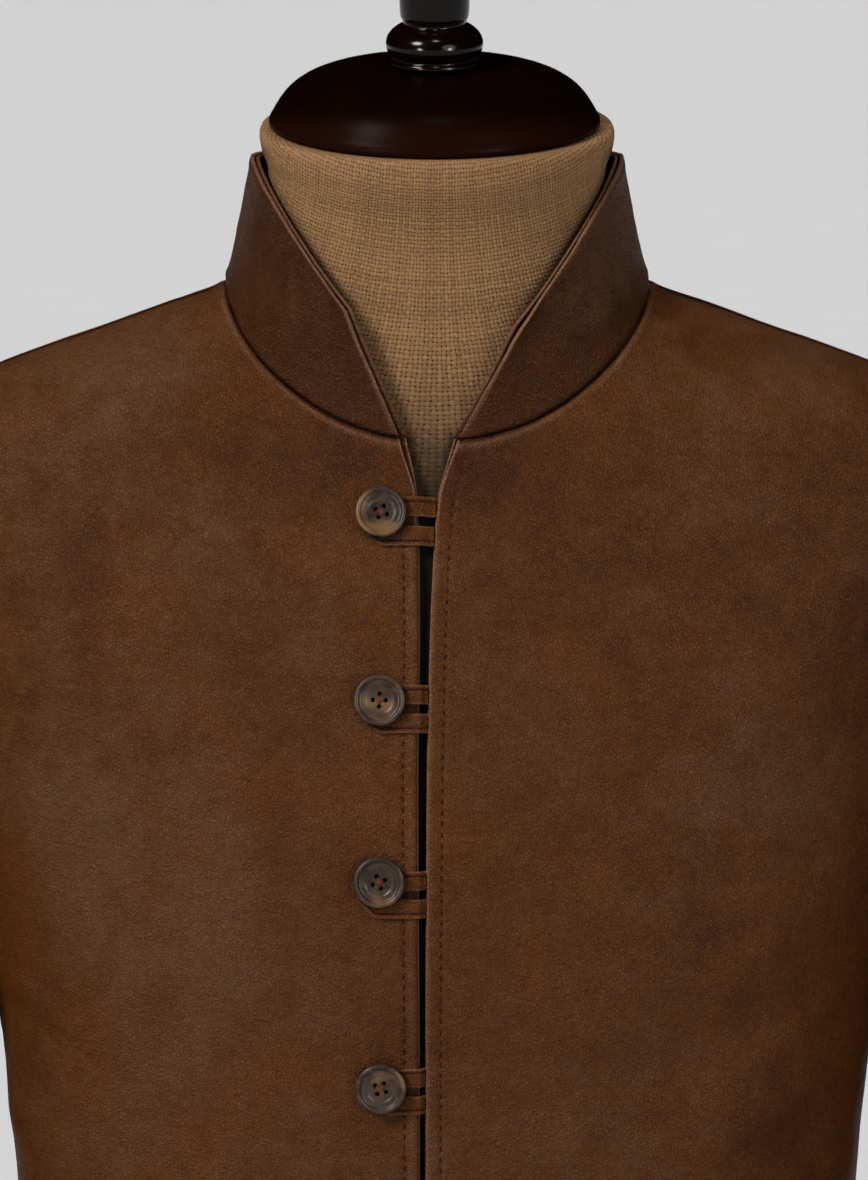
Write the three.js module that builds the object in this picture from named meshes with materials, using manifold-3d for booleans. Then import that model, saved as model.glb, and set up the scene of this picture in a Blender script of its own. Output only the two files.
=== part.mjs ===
// Band-collar leather jacket on a limbless tailor's form with a wooden neck cap and a round foot.
// Millimetres, +Z up. The wearer faces -Y and the wearer's left hand is on +X.
// The origin is the centre of the foot's underside. Heights on the garment are given as a "drop",
// the distance below the neck point, where the shoulder seams meet the collar.
import * as THREE from 'three';
import { mergeVertices } from 'three/addons/utils/BufferGeometryUtils.js';
import Module from 'manifold-3d';

const wasm = await Module();
wasm.setup();

// ---------------------------------------------------------------- driving dimensions

const NECK_Z = 930;
const HEM_DROP = 660;
const UNDERARM_DROP = 296;
const SHOULDER_DROP = 45;
const NECK_HALF = 84;
const NECK_POINT_DROP = -4;
const NECK_FRONT_DROP = 54;
const NECK_BACK_DROP = 6;
const NECK_CURVE = 1.3;

const LEATHER = 1.8;
const PLY = 1.4;
const PLY_GAP = 0.8;
const SEAM_GAP = 0.3;
const LINING = 1.2;

const FACING_WIDTH = 42;
const UNDERLAP = { left: 14, right: -24, top: 77, gap: 0.5 };

const SLEEVE_END_DROP = 640;
const BUTTON_DIAMETER = 20;
const LOOP_WIDTH = 7.4;
const LOOP_THICK = 1.2;
const LOOP_LIFT = 0.5;

const FORM_CLEARANCE = 7.5;
const FORM_END_DROP = 700;
const FOOT_RADIUS = 160;
const FOOT_THICK = 26;

// Level sections of the jacket's body: half width, and how far the front and the back stand from
// the side seam. "square" is the power of the superellipse: 2 is an ellipse.
const BODY = [
  { drop: -9, half: 75, front: 35.5, back: 49.5, square: 2.2 },
  { drop: NECK_POINT_DROP, half: NECK_HALF, front: 38, back: 51, square: 2.2 },
  { drop: 0, half: 93, front: 41, back: 53, square: 2.2 },
  { drop: 6, half: 110.5, front: 46, back: 57, square: 2.2 },
  { drop: 14, half: 132, front: 52, back: 61, square: 2.2 },
  { drop: 22, half: 155, front: 58, back: 66, square: 2.2 },
  { drop: 30, half: 176, front: 63, back: 71, square: 2.25 },
  { drop: 38, half: 194, front: 68, back: 75, square: 2.25 },
  { drop: 45, half: 207, front: 72, back: 79, square: 2.3 },
  { drop: 65, half: 212, front: 81, back: 88, square: 2.35 },
  { drop: 100, half: 209, front: 93, back: 100, square: 2.4 },
  { drop: 150, half: 200, front: 105, back: 110, square: 2.45 },
  { drop: 210, half: 189, front: 113, back: 114, square: 2.5 },
  { drop: 260, half: 182, front: 115, back: 111, square: 2.5 },
  { drop: 296, half: 176.5, front: 113, back: 107, square: 2.5 },
  { drop: 345, half: 171.5, front: 109, back: 101, square: 2.45 },
  { drop: 400, half: 168.5, front: 104, back: 94, square: 2.4 },
  { drop: 450, half: 167.5, front: 101, back: 91, square: 2.35 },
  { drop: 510, half: 172, front: 102, back: 95, square: 2.35 },
  { drop: 580, half: 179, front: 106, back: 105, square: 2.35 },
  { drop: 660, half: 185, front: 110, back: 113, square: 2.35 },
  { drop: 720, half: 187, front: 111, back: 115, square: 2.35 },
];

// Soft folds of the body: where each one runs from and to, on the front (-1) or the back (1),
// how wide it is and how far it stands out. A trough has a negative height. A fold dies away past
// its ends over a share of its width, and towards the side seams as the panel nears the side plane.
const FOLD_END_SHARE = 1.6;
const FOLD_FADE = { from: 4, to: 40 };
const FOLDS = [
  { face: -1, x1: -118, drop1: 30, x2: -108, drop2: 110, width: 16, height: 1.6 },
  { face: -1, x1: -150, drop1: 210, x2: -92, drop2: 270, width: 20, height: -1.8 },
  { face: -1, x1: -168, drop1: 330, x2: -70, drop2: 372, width: 16, height: 2.0 },
  { face: -1, x1: -84, drop1: 190, x2: -78, drop2: 300, width: 18, height: 1.6 },
  { face: -1, x1: -160, drop1: 415, x2: -60, drop2: 455, width: 20, height: -2.4 },
  { face: -1, x1: -120, drop1: 500, x2: -105, drop2: 650, width: 22, height: 2.6 },
  { face: -1, x1: 112, drop1: 170, x2: 168, drop2: 100, width: 18, height: 1.8 },
  { face: -1, x1: 120, drop1: 230, x2: 172, drop2: 170, width: 20, height: -1.6 },
  { face: -1, x1: 84, drop1: 300, x2: 168, drop2: 262, width: 18, height: -2.0 },
  { face: -1, x1: 58, drop1: 372, x2: 128, drop2: 306, width: 16, height: 1.9 },
  { face: -1, x1: 64, drop1: 440, x2: 160, drop2: 410, width: 20, height: -2.2 },
  { face: -1, x1: 96, drop1: 510, x2: 118, drop2: 655, width: 24, height: 2.4 },
  { face: 1, x1: -140, drop1: 90, x2: -60, drop2: 130, width: 22, height: 1.8 },
  { face: 1, x1: 150, drop1: 130, x2: 96, drop2: 250, width: 22, height: 2.2 },
  { face: 1, x1: -150, drop1: 150, x2: -110, drop2: 270, width: 20, height: 2.0 },
  { face: 1, x1: -140, drop1: 400, x2: -20, drop2: 428, width: 18, height: -2.6 },
  { face: 1, x1: 20, drop1: 436, x2: 150, drop2: 404, width: 18, height: -2.4 },
  { face: 1, x1: -60, drop1: 470, x2: -82, drop2: 650, width: 26, height: 2.8 },
  { face: 1, x1: 74, drop1: 480, x2: 88, drop2: 655, width: 24, height: 2.6 },
];

// Where the two fronts end, as x, and how far each facing shows past its front.
const FRONT_EDGES = [
  { drop: 50, right: -15.6, left: 9.3, rightFacing: 3.0, leftFacing: 1.9 },
  { drop: 58, right: -13.5, left: 6.6, rightFacing: 2.7, leftFacing: 1.6 },
  { drop: 66, right: -10.8, left: 3.5, rightFacing: 1.9, leftFacing: 1.0 },
  { drop: 73, right: -8.7, left: 1.2, rightFacing: 0.9, leftFacing: 0.7 },
  { drop: 80, right: -8.3, left: 0.1, rightFacing: 0.8, leftFacing: 0.5 },
  { drop: 95, right: -7.6, left: -0.9, rightFacing: 0.7, leftFacing: 0.4 },
  { drop: 125, right: -7.1, left: -2.3, rightFacing: 0.4, leftFacing: 0.4 },
  { drop: 185, right: -7.7, left: -3.6, rightFacing: 0.4, leftFacing: 0.4 },
  { drop: 320, right: -7.1, left: -4.3, rightFacing: 0.4, leftFacing: 0.4 },
  { drop: 660, right: -8.0, left: -4.0, rightFacing: 0.4, leftFacing: 0.4 },
];

// Armhole, drawn on the body: its height, and how far it reaches in front of and behind the side.
const ARMHOLE = { top: SHOULDER_DROP, bottom: UNDERARM_DROP, front: 60, back: 62 };

// Sleeve sections. The upper ones swing about a level hinge line just outside the underarm, from
// upright (turn 0) to level (turn 90), and the lower ones are level.
const SLEEVE_HINGE = { x: 180, drop: 299 };
const SLEEVE_HEAD = [
  { turn: 14, inner: 3, outer: 214, front: 63, back: 63 },
  { turn: 24, inner: 3.5, outer: 168, front: 66, back: 66 },
  { turn: 38, inner: 4, outer: 128, front: 69, back: 68 },
  { turn: 60, inner: 4, outer: 102, front: 71, back: 70 },
  { turn: 90, inner: 3.5, outer: 92, front: 71, back: 70 },
];
const SLEEVE_ARM = [
  { drop: 335, inner: 189, outer: 275, front: 69, back: 71 },
  { drop: 375, inner: 193, outer: 278, front: 63, back: 71 },
  { drop: 410, inner: 195, outer: 278, front: 61, back: 67 },
  { drop: 450, inner: 197, outer: 277, front: 64, back: 58 },
  { drop: 500, inner: 199, outer: 276, front: 69, back: 47 },
  { drop: 550, inner: 201, outer: 274, front: 74, back: 37 },
  { drop: 600, inner: 203, outer: 272, front: 78, back: 29 },
  { drop: SLEEVE_END_DROP, inner: 204, outer: 270, front: 80, back: 24 },
];
// Angles round the sleeve are measured from its inner line, forwards, in degrees.
const UNDER_SLEEVE = { from: -62, to: 40, columns: 6 };
const UPPER_SLEEVE = { from: 40, to: 298, columns: 14 };

// Collar: the top edge seen from above is an ellipse about "centre", and it climbs from the two
// front corners to the sides and the back. "lift" is its foot above the neckline.
const COLLAR = {
  half: 74, centre: -10, front: 75, back: 58, sideRise: 54, backRise: 58, climb: 1.7, spread: 0.9,
  rightCorner: { turn: 29, rise: -4 },
  leftCorner: { turn: 26, rise: -11 },
  facingPast: 0.1,
  lift: 0.5,
  columns: 4 * 6,
  rows: 3,
};

// Buttons, top to bottom: drop, x, the loop's middle line below the button's, turn of the holes,
// and how wide the loop still is where it turns round the stem.
const BUTTONS = [
  { drop: 81.4, x: -21.6, loopBelow: 2.9, spin: 20, turnWidth: 4.8 },
  { drop: 151.9, x: -22.2, loopBelow: 3.3, spin: 43, turnWidth: 4.8 },
  { drop: 221.4, x: -22.4, loopBelow: 5.2, spin: 64, turnWidth: 7.2 },
  { drop: 302.2, x: -21.8, loopBelow: 2.0, spin: 14, turnWidth: 4.8 },
  { drop: 379, x: -22.2, loopBelow: 3.4, spin: 30, turnWidth: 5.2 },
  { drop: 456, x: -22.4, loopBelow: 4.4, spin: 75, turnWidth: 6.6 },
  { drop: 533, x: -22.4, loopBelow: 3.2, spin: 52, turnWidth: 4.8 },
];

// Neck of the form: level sections above the neck point, leaning forwards as they rise.
const FORM_NECK = [
  { rise: -60, half: 92, depth: 58, centre: -6, lean: 0 },
  { rise: -25, half: 80, depth: 57, centre: -8, lean: 0 },
  { rise: 0, half: 74, depth: 55, centre: -10, lean: 1 },
  { rise: 22, half: 69.5, depth: 55.4, centre: -12, lean: 3 },
  { rise: 40, half: 67, depth: 57.4, centre: -15, lean: 6 },
  { rise: 50, half: 67, depth: 59, centre: -17, lean: 9 },
  { rise: 58, half: 69.6, depth: 60.2, centre: -18, lean: 10.5 },
  { rise: 66, half: 71, depth: 61.2, centre: -18.5, lean: 10.5 },
];
const NECK_SQUARE = 2.2;

// Wooden neck cap and its finial, turned shapes on the axis of the leaning neck.
const CAP_PROFILE = [
  { r: 0, h: 0 }, { r: 64.6, h: 0 }, { r: 65.7, h: 1.7 }, { r: 65.3, h: 3.4 },
  { r: 64.3, h: 5.2 }, { r: 62.8, h: 7.9 }, { r: 60.8, h: 11 }, { r: 58.4, h: 13.9 },
  { r: 55, h: 16.8 }, { r: 50, h: 19.7 }, { r: 42, h: 22.4 }, { r: 32, h: 23.7 },
  { r: 18, h: 24 }, { r: 0, h: 24 },
];
const CAP_DEPTH = 0.9;
const FINIAL_PROFILE = [
  { r: 0, h: 24.3 }, { r: 17, h: 24.3 }, { r: 18.6, h: 25.4 }, { r: 18.4, h: 27 },
  { r: 17.3, h: 28 }, { r: 18.9, h: 30.4 }, { r: 19.2, h: 33 }, { r: 18.2, h: 36.6 },
  { r: 15.4, h: 39.4 }, { r: 12.7, h: 41.2 }, { r: 13.2, h: 43 }, { r: 13.9, h: 45 },
  { r: 13.9, h: 62 }, { r: 12, h: 67 }, { r: 7, h: 70 }, { r: 0, h: 71 },
];
const CAP_RISE = 66.3;
const CAP_ASIDE = -1;
const FOOT_PROFILE = [
  { r: 0, h: 0 }, { r: 1, h: 0 }, { r: 1, h: 0.35 }, { r: 0.97, h: 0.55 }, { r: 0.95, h: 0.8 },
  { r: 0.9, h: 1 }, { r: 0, h: 1 },
];
const POST_RADIUS = 15;

// ---------------------------------------------------------------- materials

const MATERIALS = {
  leather: { color: 0x57341f, roughness: 0.55, metalness: 0 },
  collarLeather: { color: 0x4b2c1b, roughness: 0.55, metalness: 0 },
  loopLeather: { color: 0x6e3d1c, roughness: 0.6, metalness: 0 },
  lining: { color: 0x14100e, roughness: 0.9, metalness: 0 },
  horn: { color: 0x4a4541, roughness: 0.35, metalness: 0 },
  burlap: { color: 0x8d7350, roughness: 0.95, metalness: 0 },
  darkWood: { color: 0x1c0d0a, roughness: 0.2, metalness: 0 },
};

function makeMaterial(name) {
  const { color, roughness, metalness } = MATERIALS[name];
  return new THREE.MeshStandardMaterial({ color, roughness, metalness });
}

// ---------------------------------------------------------------- reading the tables

const lerp = THREE.MathUtils.lerp;
const degrees = THREE.MathUtils.degToRad;

/** Slopes of a curve through one column of a table that never overshoots its rows. */
function columnSlopes(table, key, column) {
  const steps = table.slice(1).map((row, i) => {
    const before = table[i];
    return (row[column] - before[column]) / (row[key] - before[key]);
  });
  return table.map((row, i) => {
    if (i === 0) return steps[0];
    if (i === table.length - 1) return steps[i - 1];
    const product = steps[i - 1] * steps[i];
    return product <= 0 ? 0 : (2 * product) / (steps[i - 1] + steps[i]);
  });
}

/** A table turned into a function of its key that returns every column, smoothly. */
function smoothTable(table, key) {
  const columns = Object.keys(table[0]).filter((name) => name !== key);
  const slopes = Object.fromEntries(columns.map((name) => [name, columnSlopes(table, key, name)]));
  return (value) => {
    const at = THREE.MathUtils.clamp(value, table[0][key], table[table.length - 1][key]);
    let i = 0;
    while (i < table.length - 2 && at > table[i + 1][key]) i += 1;
    const below = table[i];
    const above = table[i + 1];
    const span = above[key] - below[key];
    const t = (at - below[key]) / span;
    const share = 3 * t ** 2 - 2 * t ** 3;
    const leaveLean = t ** 3 - 2 * t ** 2 + t;
    const arriveLean = t ** 3 - t ** 2;
    const result = {};
    for (const name of columns) {
      const lean = leaveLean * slopes[name][i] + arriveLean * slopes[name][i + 1];
      result[name] = lerp(below[name], above[name], share) + span * lean;
    }
    return result;
  };
}

const bodySection = smoothTable(BODY, 'drop');
const frontEdges = smoothTable(FRONT_EDGES, 'drop');
const neckSection = smoothTable(FORM_NECK, 'rise');

// ---------------------------------------------------------------- surface of the jacket's body

/** How far a level section reaches at a given x: the distance of the cloth from the side plane. */
function reachAt(x, section, face) {
  const depth = face < 0 ? section.front : section.back;
  const rest = Math.max(0, 1 - Math.abs(x / section.half) ** section.square);
  return depth * rest ** (1 / section.square);
}

/** The x at which a level section is a given distance from the side plane. */
function widthAt(reach, section, face) {
  const depth = face < 0 ? section.front : section.back;
  const rest = Math.max(0, 1 - Math.abs(reach / depth) ** section.square);
  return section.half * rest ** (1 / section.square);
}

/** Sum of the soft folds that pass near a point of the body. */
function foldHeight(x, drop, face) {
  let height = 0;
  for (const fold of FOLDS) {
    if (fold.face !== face) continue;
    const alongX = fold.x2 - fold.x1;
    const alongDrop = fold.drop2 - fold.drop1;
    const length = Math.hypot(alongX, alongDrop);
    const along = ((x - fold.x1) * alongX + (drop - fold.drop1) * alongDrop) / length;
    const aside = ((x - fold.x1) * alongDrop - (drop - fold.drop1) * alongX) / length;
    const past = Math.max(0, -along, along - length);
    const reach = (aside / fold.width) ** 2 + (past / (FOLD_END_SHARE * fold.width)) ** 2;
    height += fold.height * Math.exp(-reach);
  }
  return height;
}

/** A point of the body's outer surface at (x, drop) on the front (-1) or back (1), and its normal. */
function onBody(x, drop, face) {
  const section = bodySection(drop);
  const y = face * reachAt(x, section, face);
  const implicit = (at) => {
    const here = bodySection(at);
    const depth = face < 0 ? here.front : here.back;
    return Math.abs(x / here.half) ** here.square + Math.abs(y / depth) ** here.square;
  };
  const depth = face < 0 ? section.front : section.back;
  const power = section.square - 1;
  const normal = new THREE.Vector3(
    (Math.sign(x) * section.square * Math.abs(x / section.half) ** power) / section.half,
    (face * section.square * Math.abs(y / depth) ** power) / depth,
    (implicit(drop - 0.5) - implicit(drop + 0.5)),
  ).normalize();
  const sideFade = THREE.MathUtils.smoothstep(Math.abs(y), FOLD_FADE.from, FOLD_FADE.to);
  const point = new THREE.Vector3(x, y, NECK_Z - drop);
  point.addScaledVector(normal, sideFade * foldHeight(x, drop, face));
  return { point, normal };
}

/** Neckline: turn 0 is the front centre, 1 the neck point at the side. */
function neckline(turn, face) {
  const angle = (Math.PI / 2) * (1 - (1 - turn) ** 2);
  const deepest = face < 0 ? NECK_FRONT_DROP : NECK_BACK_DROP;
  const fall = Math.max(0, Math.cos(angle)) ** NECK_CURVE;
  return { x: NECK_HALF * Math.sin(angle), drop: lerp(NECK_POINT_DROP, deepest, fall) };
}

/** The turn of the neckline at a given x. */
function necklineTurn(x) {
  return 1 - Math.sqrt(1 - Math.asin(Math.min(1, Math.abs(x) / NECK_HALF)) / (Math.PI / 2));
}

/** Armhole: angle 0 is the underarm, 180 the shoulder tip; y grows towards the named face. */
function armhole(angle, face) {
  const middle = (ARMHOLE.top + ARMHOLE.bottom) / 2;
  const reach = face < 0 ? ARMHOLE.front : ARMHOLE.back;
  const drop = middle + ((ARMHOLE.bottom - ARMHOLE.top) / 2) * Math.cos(degrees(angle));
  const away = Math.max(SEAM_GAP / 2, reach * Math.sin(degrees(angle)));
  return { x: widthAt(away, bodySection(drop), face), drop };
}

// ---------------------------------------------------------------- body panels as grids of points

const NECK_SHARE = 0.3;
const NECK_COLUMNS = 7;
const SHOULDER_COLUMNS = 7;
const UPPER_ROWS = 12;
const LOWER_DROPS = [HEM_DROP, 596, 533, 494, 456, 418, 379, 338];

/** Top edge of a half panel: the neckline from the centre edge, then the shoulder seam. */
function topEdge(p, centreTurn, face) {
  if (p <= NECK_SHARE) {
    return neckline(lerp(centreTurn, 1, p / NECK_SHARE), face);
  }
  const drop = lerp(NECK_POINT_DROP, SHOULDER_DROP, (p - NECK_SHARE) / (1 - NECK_SHARE));
  return { x: widthAt(SEAM_GAP / 2, bodySection(drop), face), drop };
}

/** Shares of a half panel's width at which its columns stand: the first ones end on the neckline. */
const COLUMN_SHARES = [
  ...Array.from({ length: NECK_COLUMNS }, (_, i) => (NECK_SHARE * i) / NECK_COLUMNS),
  ...Array.from(
    { length: SHOULDER_COLUMNS + 1 },
    (_, i) => lerp(NECK_SHARE, 1, i / SHOULDER_COLUMNS),
  ),
];
/** Shares of the height above the underarm at which rows stand, closer together towards the top. */
const ROW_SHARES = Array.from(
  { length: UPPER_ROWS + 1 },
  (_, j) => Math.sin((Math.PI / 2) * (j / UPPER_ROWS)),
);

/** Points of one half of the front or back, as {x, drop}, rows from the hem up. */
function halfPanel({ face, centre, centreTurn }) {
  const sideX = (drop) => widthAt(SEAM_GAP / 2, bodySection(drop), face);
  const levelRow = (drop) => {
    const half = bodySection(drop).half;
    const power = 2 / bodySection(drop).square;
    const start = Math.asin(Math.min(1, Math.abs(centre(drop)) / half) ** (1 / power));
    return COLUMN_SHARES.map((p) => {
      const angle = lerp(start, Math.PI / 2, p);
      return { x: Math.min(half * Math.sin(angle) ** power, sideX(drop)), drop };
    });
  };
  const rows = LOWER_DROPS.map(levelRow);
  const base = levelRow(UNDERARM_DROP);
  base[0] = { x: centre(UNDERARM_DROP), drop: UNDERARM_DROP };
  const innerTop = topEdge(0, centreTurn, face);
  const outerTop = topEdge(1, centreTurn, face);
  for (const s of ROW_SHARES) {
    rows.push(base.map((low, i) => {
      const p = COLUMN_SHARES[i];
      const high = topEdge(p, centreTurn, face);
      const insideDrop = lerp(UNDERARM_DROP, innerTop.drop, s);
      const inside = { x: centre(insideDrop), drop: insideDrop };
      const outside = armhole(180 * s, face);
      const mix = (name) => {
        const upwards = lerp(low[name], high[name], s);
        const across = lerp(inside[name], outside[name], p);
        const innerCorners = lerp(base[0][name], innerTop[name], s);
        const outerCorners = lerp(base[base.length - 1][name], outerTop[name], s);
        return upwards + across - lerp(innerCorners, outerCorners, p);
      };
      return { x: mix('x'), drop: mix('drop') };
    }));
  }
  for (const row of rows.slice(0, LOWER_DROPS.length)) {
    row[0].x = centre(row[0].drop);
  }
  return rows;
}

/** Places a grid of {x, drop} on the body, on one side of the centre (-1 right, 1 left). */
function placeOnBody(rows, side, face) {
  return rows.map((row) => row.map(({ x, drop }) => onBody(side * x, drop, face)));
}

function frontGrid(side) {
  const edge = side < 0 ? 'right' : 'left';
  const centre = (drop) => side * frontEdges(drop)[edge];
  const centreTurn = necklineTurn(frontEdges(NECK_FRONT_DROP)[edge]);
  return placeOnBody(halfPanel({ face: -1, centre, centreTurn }), side, -1);
}

function backGrid() {
  const rows = halfPanel({ face: 1, centre: () => 0, centreTurn: 0 });
  const left = placeOnBody(rows, 1, 1);
  const right = placeOnBody(rows, -1, 1);
  return left.map((row, j) => [...row.slice(1).reverse(), ...right[j]]);
}

/** A strip behind a front's edge, on the same rows as the front, up to the neckline. */
function facingGrid(side) {
  const name = side < 0 ? 'right' : 'left';
  const edge = (drop) => frontEdges(drop)[name] - side * frontEdges(drop)[`${name}Facing`];
  const widths = [0, 1, 2, 3].map((k) => (k / 3) * FACING_WIDTH);
  const ceiling = (width) => neckline(necklineTurn(edge(NECK_FRONT_DROP) + side * width), -1).drop;
  const place = (width, drop) => onBody(edge(drop) + side * width, drop, -1);
  const lower = LOWER_DROPS.map((drop) => widths.map((width) => place(width, drop)));
  const upper = ROW_SHARES.map((s) => widths.map((width) => {
    const drop = lerp(UNDERARM_DROP, ceiling(width), s);
    return place(width, drop);
  }));
  return [...lower, ...upper];
}

function underlapGrid() {
  const upper = ROW_SHARES.map((s) => lerp(UNDERARM_DROP, UNDERLAP.top, s));
  const drops = [...LOWER_DROPS, ...upper];
  return drops.map((drop) => [UNDERLAP.right, UNDERLAP.left].map((x) => onBody(x, drop, -1)));
}

// ---------------------------------------------------------------- sleeves

/** The seam ring of the sleeve: the armhole itself, angle in degrees from the underarm forwards. */
function sleeveSeam(angle, side) {
  const turn = ((angle % 360) + 360) % 360;
  const face = turn <= 180 ? -1 : 1;
  const onSide = armhole(face < 0 ? turn : 360 - turn, face);
  const { point } = onBody(side * onSide.x, onSide.drop, face);
  point.x *= side;
  return point;
}

/** One control ring below the seam, as a point at an angle round it. */
function sleeveRing(row, angle) {
  const outwards = -Math.cos(degrees(angle));
  const y = (row.back - row.front) / 2 - ((row.back + row.front) / 2) * Math.sin(degrees(angle));
  const across = lerp(row.inner, row.outer, (1 + outwards) / 2);
  if (row.turn === undefined) {
    return new THREE.Vector3(across, y, NECK_Z - row.drop);
  }
  const swing = degrees(row.turn);
  const x = SLEEVE_HINGE.x + across * Math.sin(swing);
  return new THREE.Vector3(x, y, NECK_Z - SLEEVE_HINGE.drop + across * Math.cos(swing));
}

const SLEEVE_ROWS = [...SLEEVE_HEAD, ...SLEEVE_ARM];
// The share of the sleeve's length at which its cloth starts, just clear of the armhole's edge.
const SLEEVE_START = 0.005;
const SLEEVE_GAP_ANGLE = 0.15;

/** A point of the sleeve, as on the left side: t 0 is the armhole seam and t 1 the cuff's end. */
function sleevePoint(angle, t, side) {
  const last = SLEEVE_ROWS.length;
  const place = t * last;
  const i = Math.min(last - 1, Math.floor(place));
  const first = Math.max(0, i - 1);
  const controls = [];
  for (let k = first; k <= Math.min(last, i + 2); k += 1) {
    controls.push(k === 0 ? sleeveSeam(angle, side) : sleeveRing(SLEEVE_ROWS[k - 1], angle));
  }
  const curve = new THREE.CatmullRomCurve3(controls, false, 'centripetal');
  return curve.getPoint((place - first) / (controls.length - 1));
}

/** Sleeve surface with its outward normal, pulled off the armhole by the seam gap. */
function onSleeve(angle, t, side) {
  const step = 0.002;
  const at = Math.max(SLEEVE_START, t);
  const towardsCuff = sleevePoint(angle, Math.min(1, at + step), side);
  const towardsArmhole = sleevePoint(angle, Math.max(0, at - step), side);
  const along = towardsCuff.sub(towardsArmhole);
  const around = sleevePoint(angle + 1, at, side).sub(sleevePoint(angle - 1, at, side));
  const normal = around.cross(along).normalize();
  return { point: sleevePoint(angle, at, side), normal };
}

const SLEEVE_STEPS = [0, 0.5, 1, 1.5, 2, 3, 4, 5, 6, 7, 8, 9, 10, 11, 12, 13];

function sleeveGrid(side, piece) {
  const from = piece.from + SLEEVE_GAP_ANGLE;
  const to = piece.to - SLEEVE_GAP_ANGLE;
  return SLEEVE_STEPS.map((row) => Array.from({ length: piece.columns + 1 }, (_, i) => {
    const angle = lerp(from, to, i / piece.columns);
    const { point, normal } = onSleeve(angle, row / SLEEVE_ROWS.length, side);
    point.x *= side;
    normal.x *= side;
    return { point, normal };
  }));
}

// ---------------------------------------------------------------- collar

/** Foot of the collar, on the neckline: q 0 is the right front end, 0.5 the back, 1 the left end. */
function collarFoot(q, isFacing) {
  const side = q < 0.5 ? -1 : 1;
  const away = q < 0.5 ? q * 4 : (1 - q) * 4;
  const name = side < 0 ? 'right' : 'left';
  const edges = frontEdges(NECK_FRONT_DROP);
  const first = necklineTurn(Math.abs(edges[name]) - (isFacing ? edges[`${name}Facing`] : 0));
  if (away <= 1) {
    const { x, drop } = neckline(lerp(first, 1, away), -1);
    return onBody(side * x, drop, -1).point;
  }
  const { x, drop } = neckline(2 - away, 1);
  return onBody(side * x, drop, 1).point;
}

/** Top edge of the collar at the same q. */
function collarTop(q, isFacing) {
  const side = q < 0.5 ? -1 : 1;
  const away = q < 0.5 ? q * 4 : (1 - q) * 4;
  const corner = side < 0 ? COLLAR.rightCorner : COLLAR.leftCorner;
  if (away <= 1) {
    const first = corner.turn - (isFacing ? COLLAR.facingPast : 0);
    const turn = lerp(first, 90, away ** COLLAR.spread);
    const back = (90 - turn) / (90 - first);
    const rise = COLLAR.sideRise - (COLLAR.sideRise - corner.rise) * back ** COLLAR.climb;
    const y = COLLAR.centre - COLLAR.front * Math.cos(degrees(turn));
    return new THREE.Vector3(side * COLLAR.half * Math.sin(degrees(turn)), y, NECK_Z + rise);
  }
  const turn = 90 * away;
  const rise = lerp(COLLAR.sideRise, COLLAR.backRise, THREE.MathUtils.smoothstep(away, 1, 2));
  const y = COLLAR.centre - COLLAR.back * Math.cos(degrees(turn));
  return new THREE.Vector3(side * COLLAR.half * Math.sin(degrees(turn)), y, NECK_Z + rise);
}

function collarPoint(q, h, isFacing) {
  const foot = collarFoot(q, isFacing);
  foot.z += COLLAR.lift;
  return foot.lerp(collarTop(q, isFacing), h);
}

/** A point of the collar's outer face with its outward normal. */
function onCollar(q, h, isFacing) {
  const step = 0.004;
  const before = collarPoint(Math.max(0, q - step), h, isFacing);
  const after = collarPoint(Math.min(1, q + step), h, isFacing);
  const up = collarPoint(q, 1, isFacing).sub(collarPoint(q, 0, isFacing));
  const normal = up.cross(after.sub(before)).normalize();
  return { point: collarPoint(q, h, isFacing), normal };
}

function collarGrid(isFacing) {
  const heights = Array.from({ length: COLLAR.rows + 1 }, (_, j) => j / COLLAR.rows);
  const turns = Array.from({ length: COLLAR.columns + 1 }, (_, i) => i / COLLAR.columns);
  return heights.map((h) => turns.map((q) => onCollar(q, h, isFacing)));
}

// ---------------------------------------------------------------- solids from grids and profiles

function indexedGeometry(coordinates, indices) {
  const geometry = new THREE.BufferGeometry();
  geometry.setAttribute('position', new THREE.Float32BufferAttribute(coordinates, 3));
  geometry.setIndex(indices);
  geometry.computeVertexNormals();
  return geometry;
}

/** A geometry from points and triangles, turned so that its faces point outwards. */
function solidGeometry(points, triangles) {
  let volume = 0;
  for (const [a, b, c] of triangles) {
    volume += points[a].dot(points[b].clone().cross(points[c]));
  }
  const faces = volume < 0 ? triangles.map(([a, b, c]) => [a, c, b]) : triangles;
  return indexedGeometry(points.flatMap((p) => [p.x, p.y, p.z]), faces.flat());
}

/** A closed wall on a grid of points and normals, between two distances from the grid. */
function wallGeometry(grid, from, to) {
  const rows = grid.length;
  const columns = grid[0].length;
  const layer = (distance) => grid.flat().map(
    ({ point, normal }) => point.clone().addScaledVector(normal, distance),
  );
  const points = [...layer(from), ...layer(to)];
  const near = (j, i) => j * columns + i;
  const far = (j, i) => rows * columns + near(j, i);
  const triangles = [];
  const quad = (a, b, c, d) => triangles.push([a, b, c], [a, c, d]);
  for (let j = 0; j < rows - 1; j += 1) {
    for (let i = 0; i < columns - 1; i += 1) {
      quad(near(j, i), near(j, i + 1), near(j + 1, i + 1), near(j + 1, i));
      quad(far(j, i), far(j + 1, i), far(j + 1, i + 1), far(j, i + 1));
    }
  }
  const top = rows - 1;
  for (let i = 0; i < columns - 1; i += 1) {
    quad(near(0, i + 1), near(0, i), far(0, i), far(0, i + 1));
    quad(near(top, i), near(top, i + 1), far(top, i + 1), far(top, i));
  }
  const end = columns - 1;
  for (let j = 0; j < rows - 1; j += 1) {
    quad(near(j, 0), near(j + 1, 0), far(j + 1, 0), far(j, 0));
    quad(near(j + 1, end), near(j, end), far(j, end), far(j + 1, end));
  }
  return solidGeometry(points, triangles);
}

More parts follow.
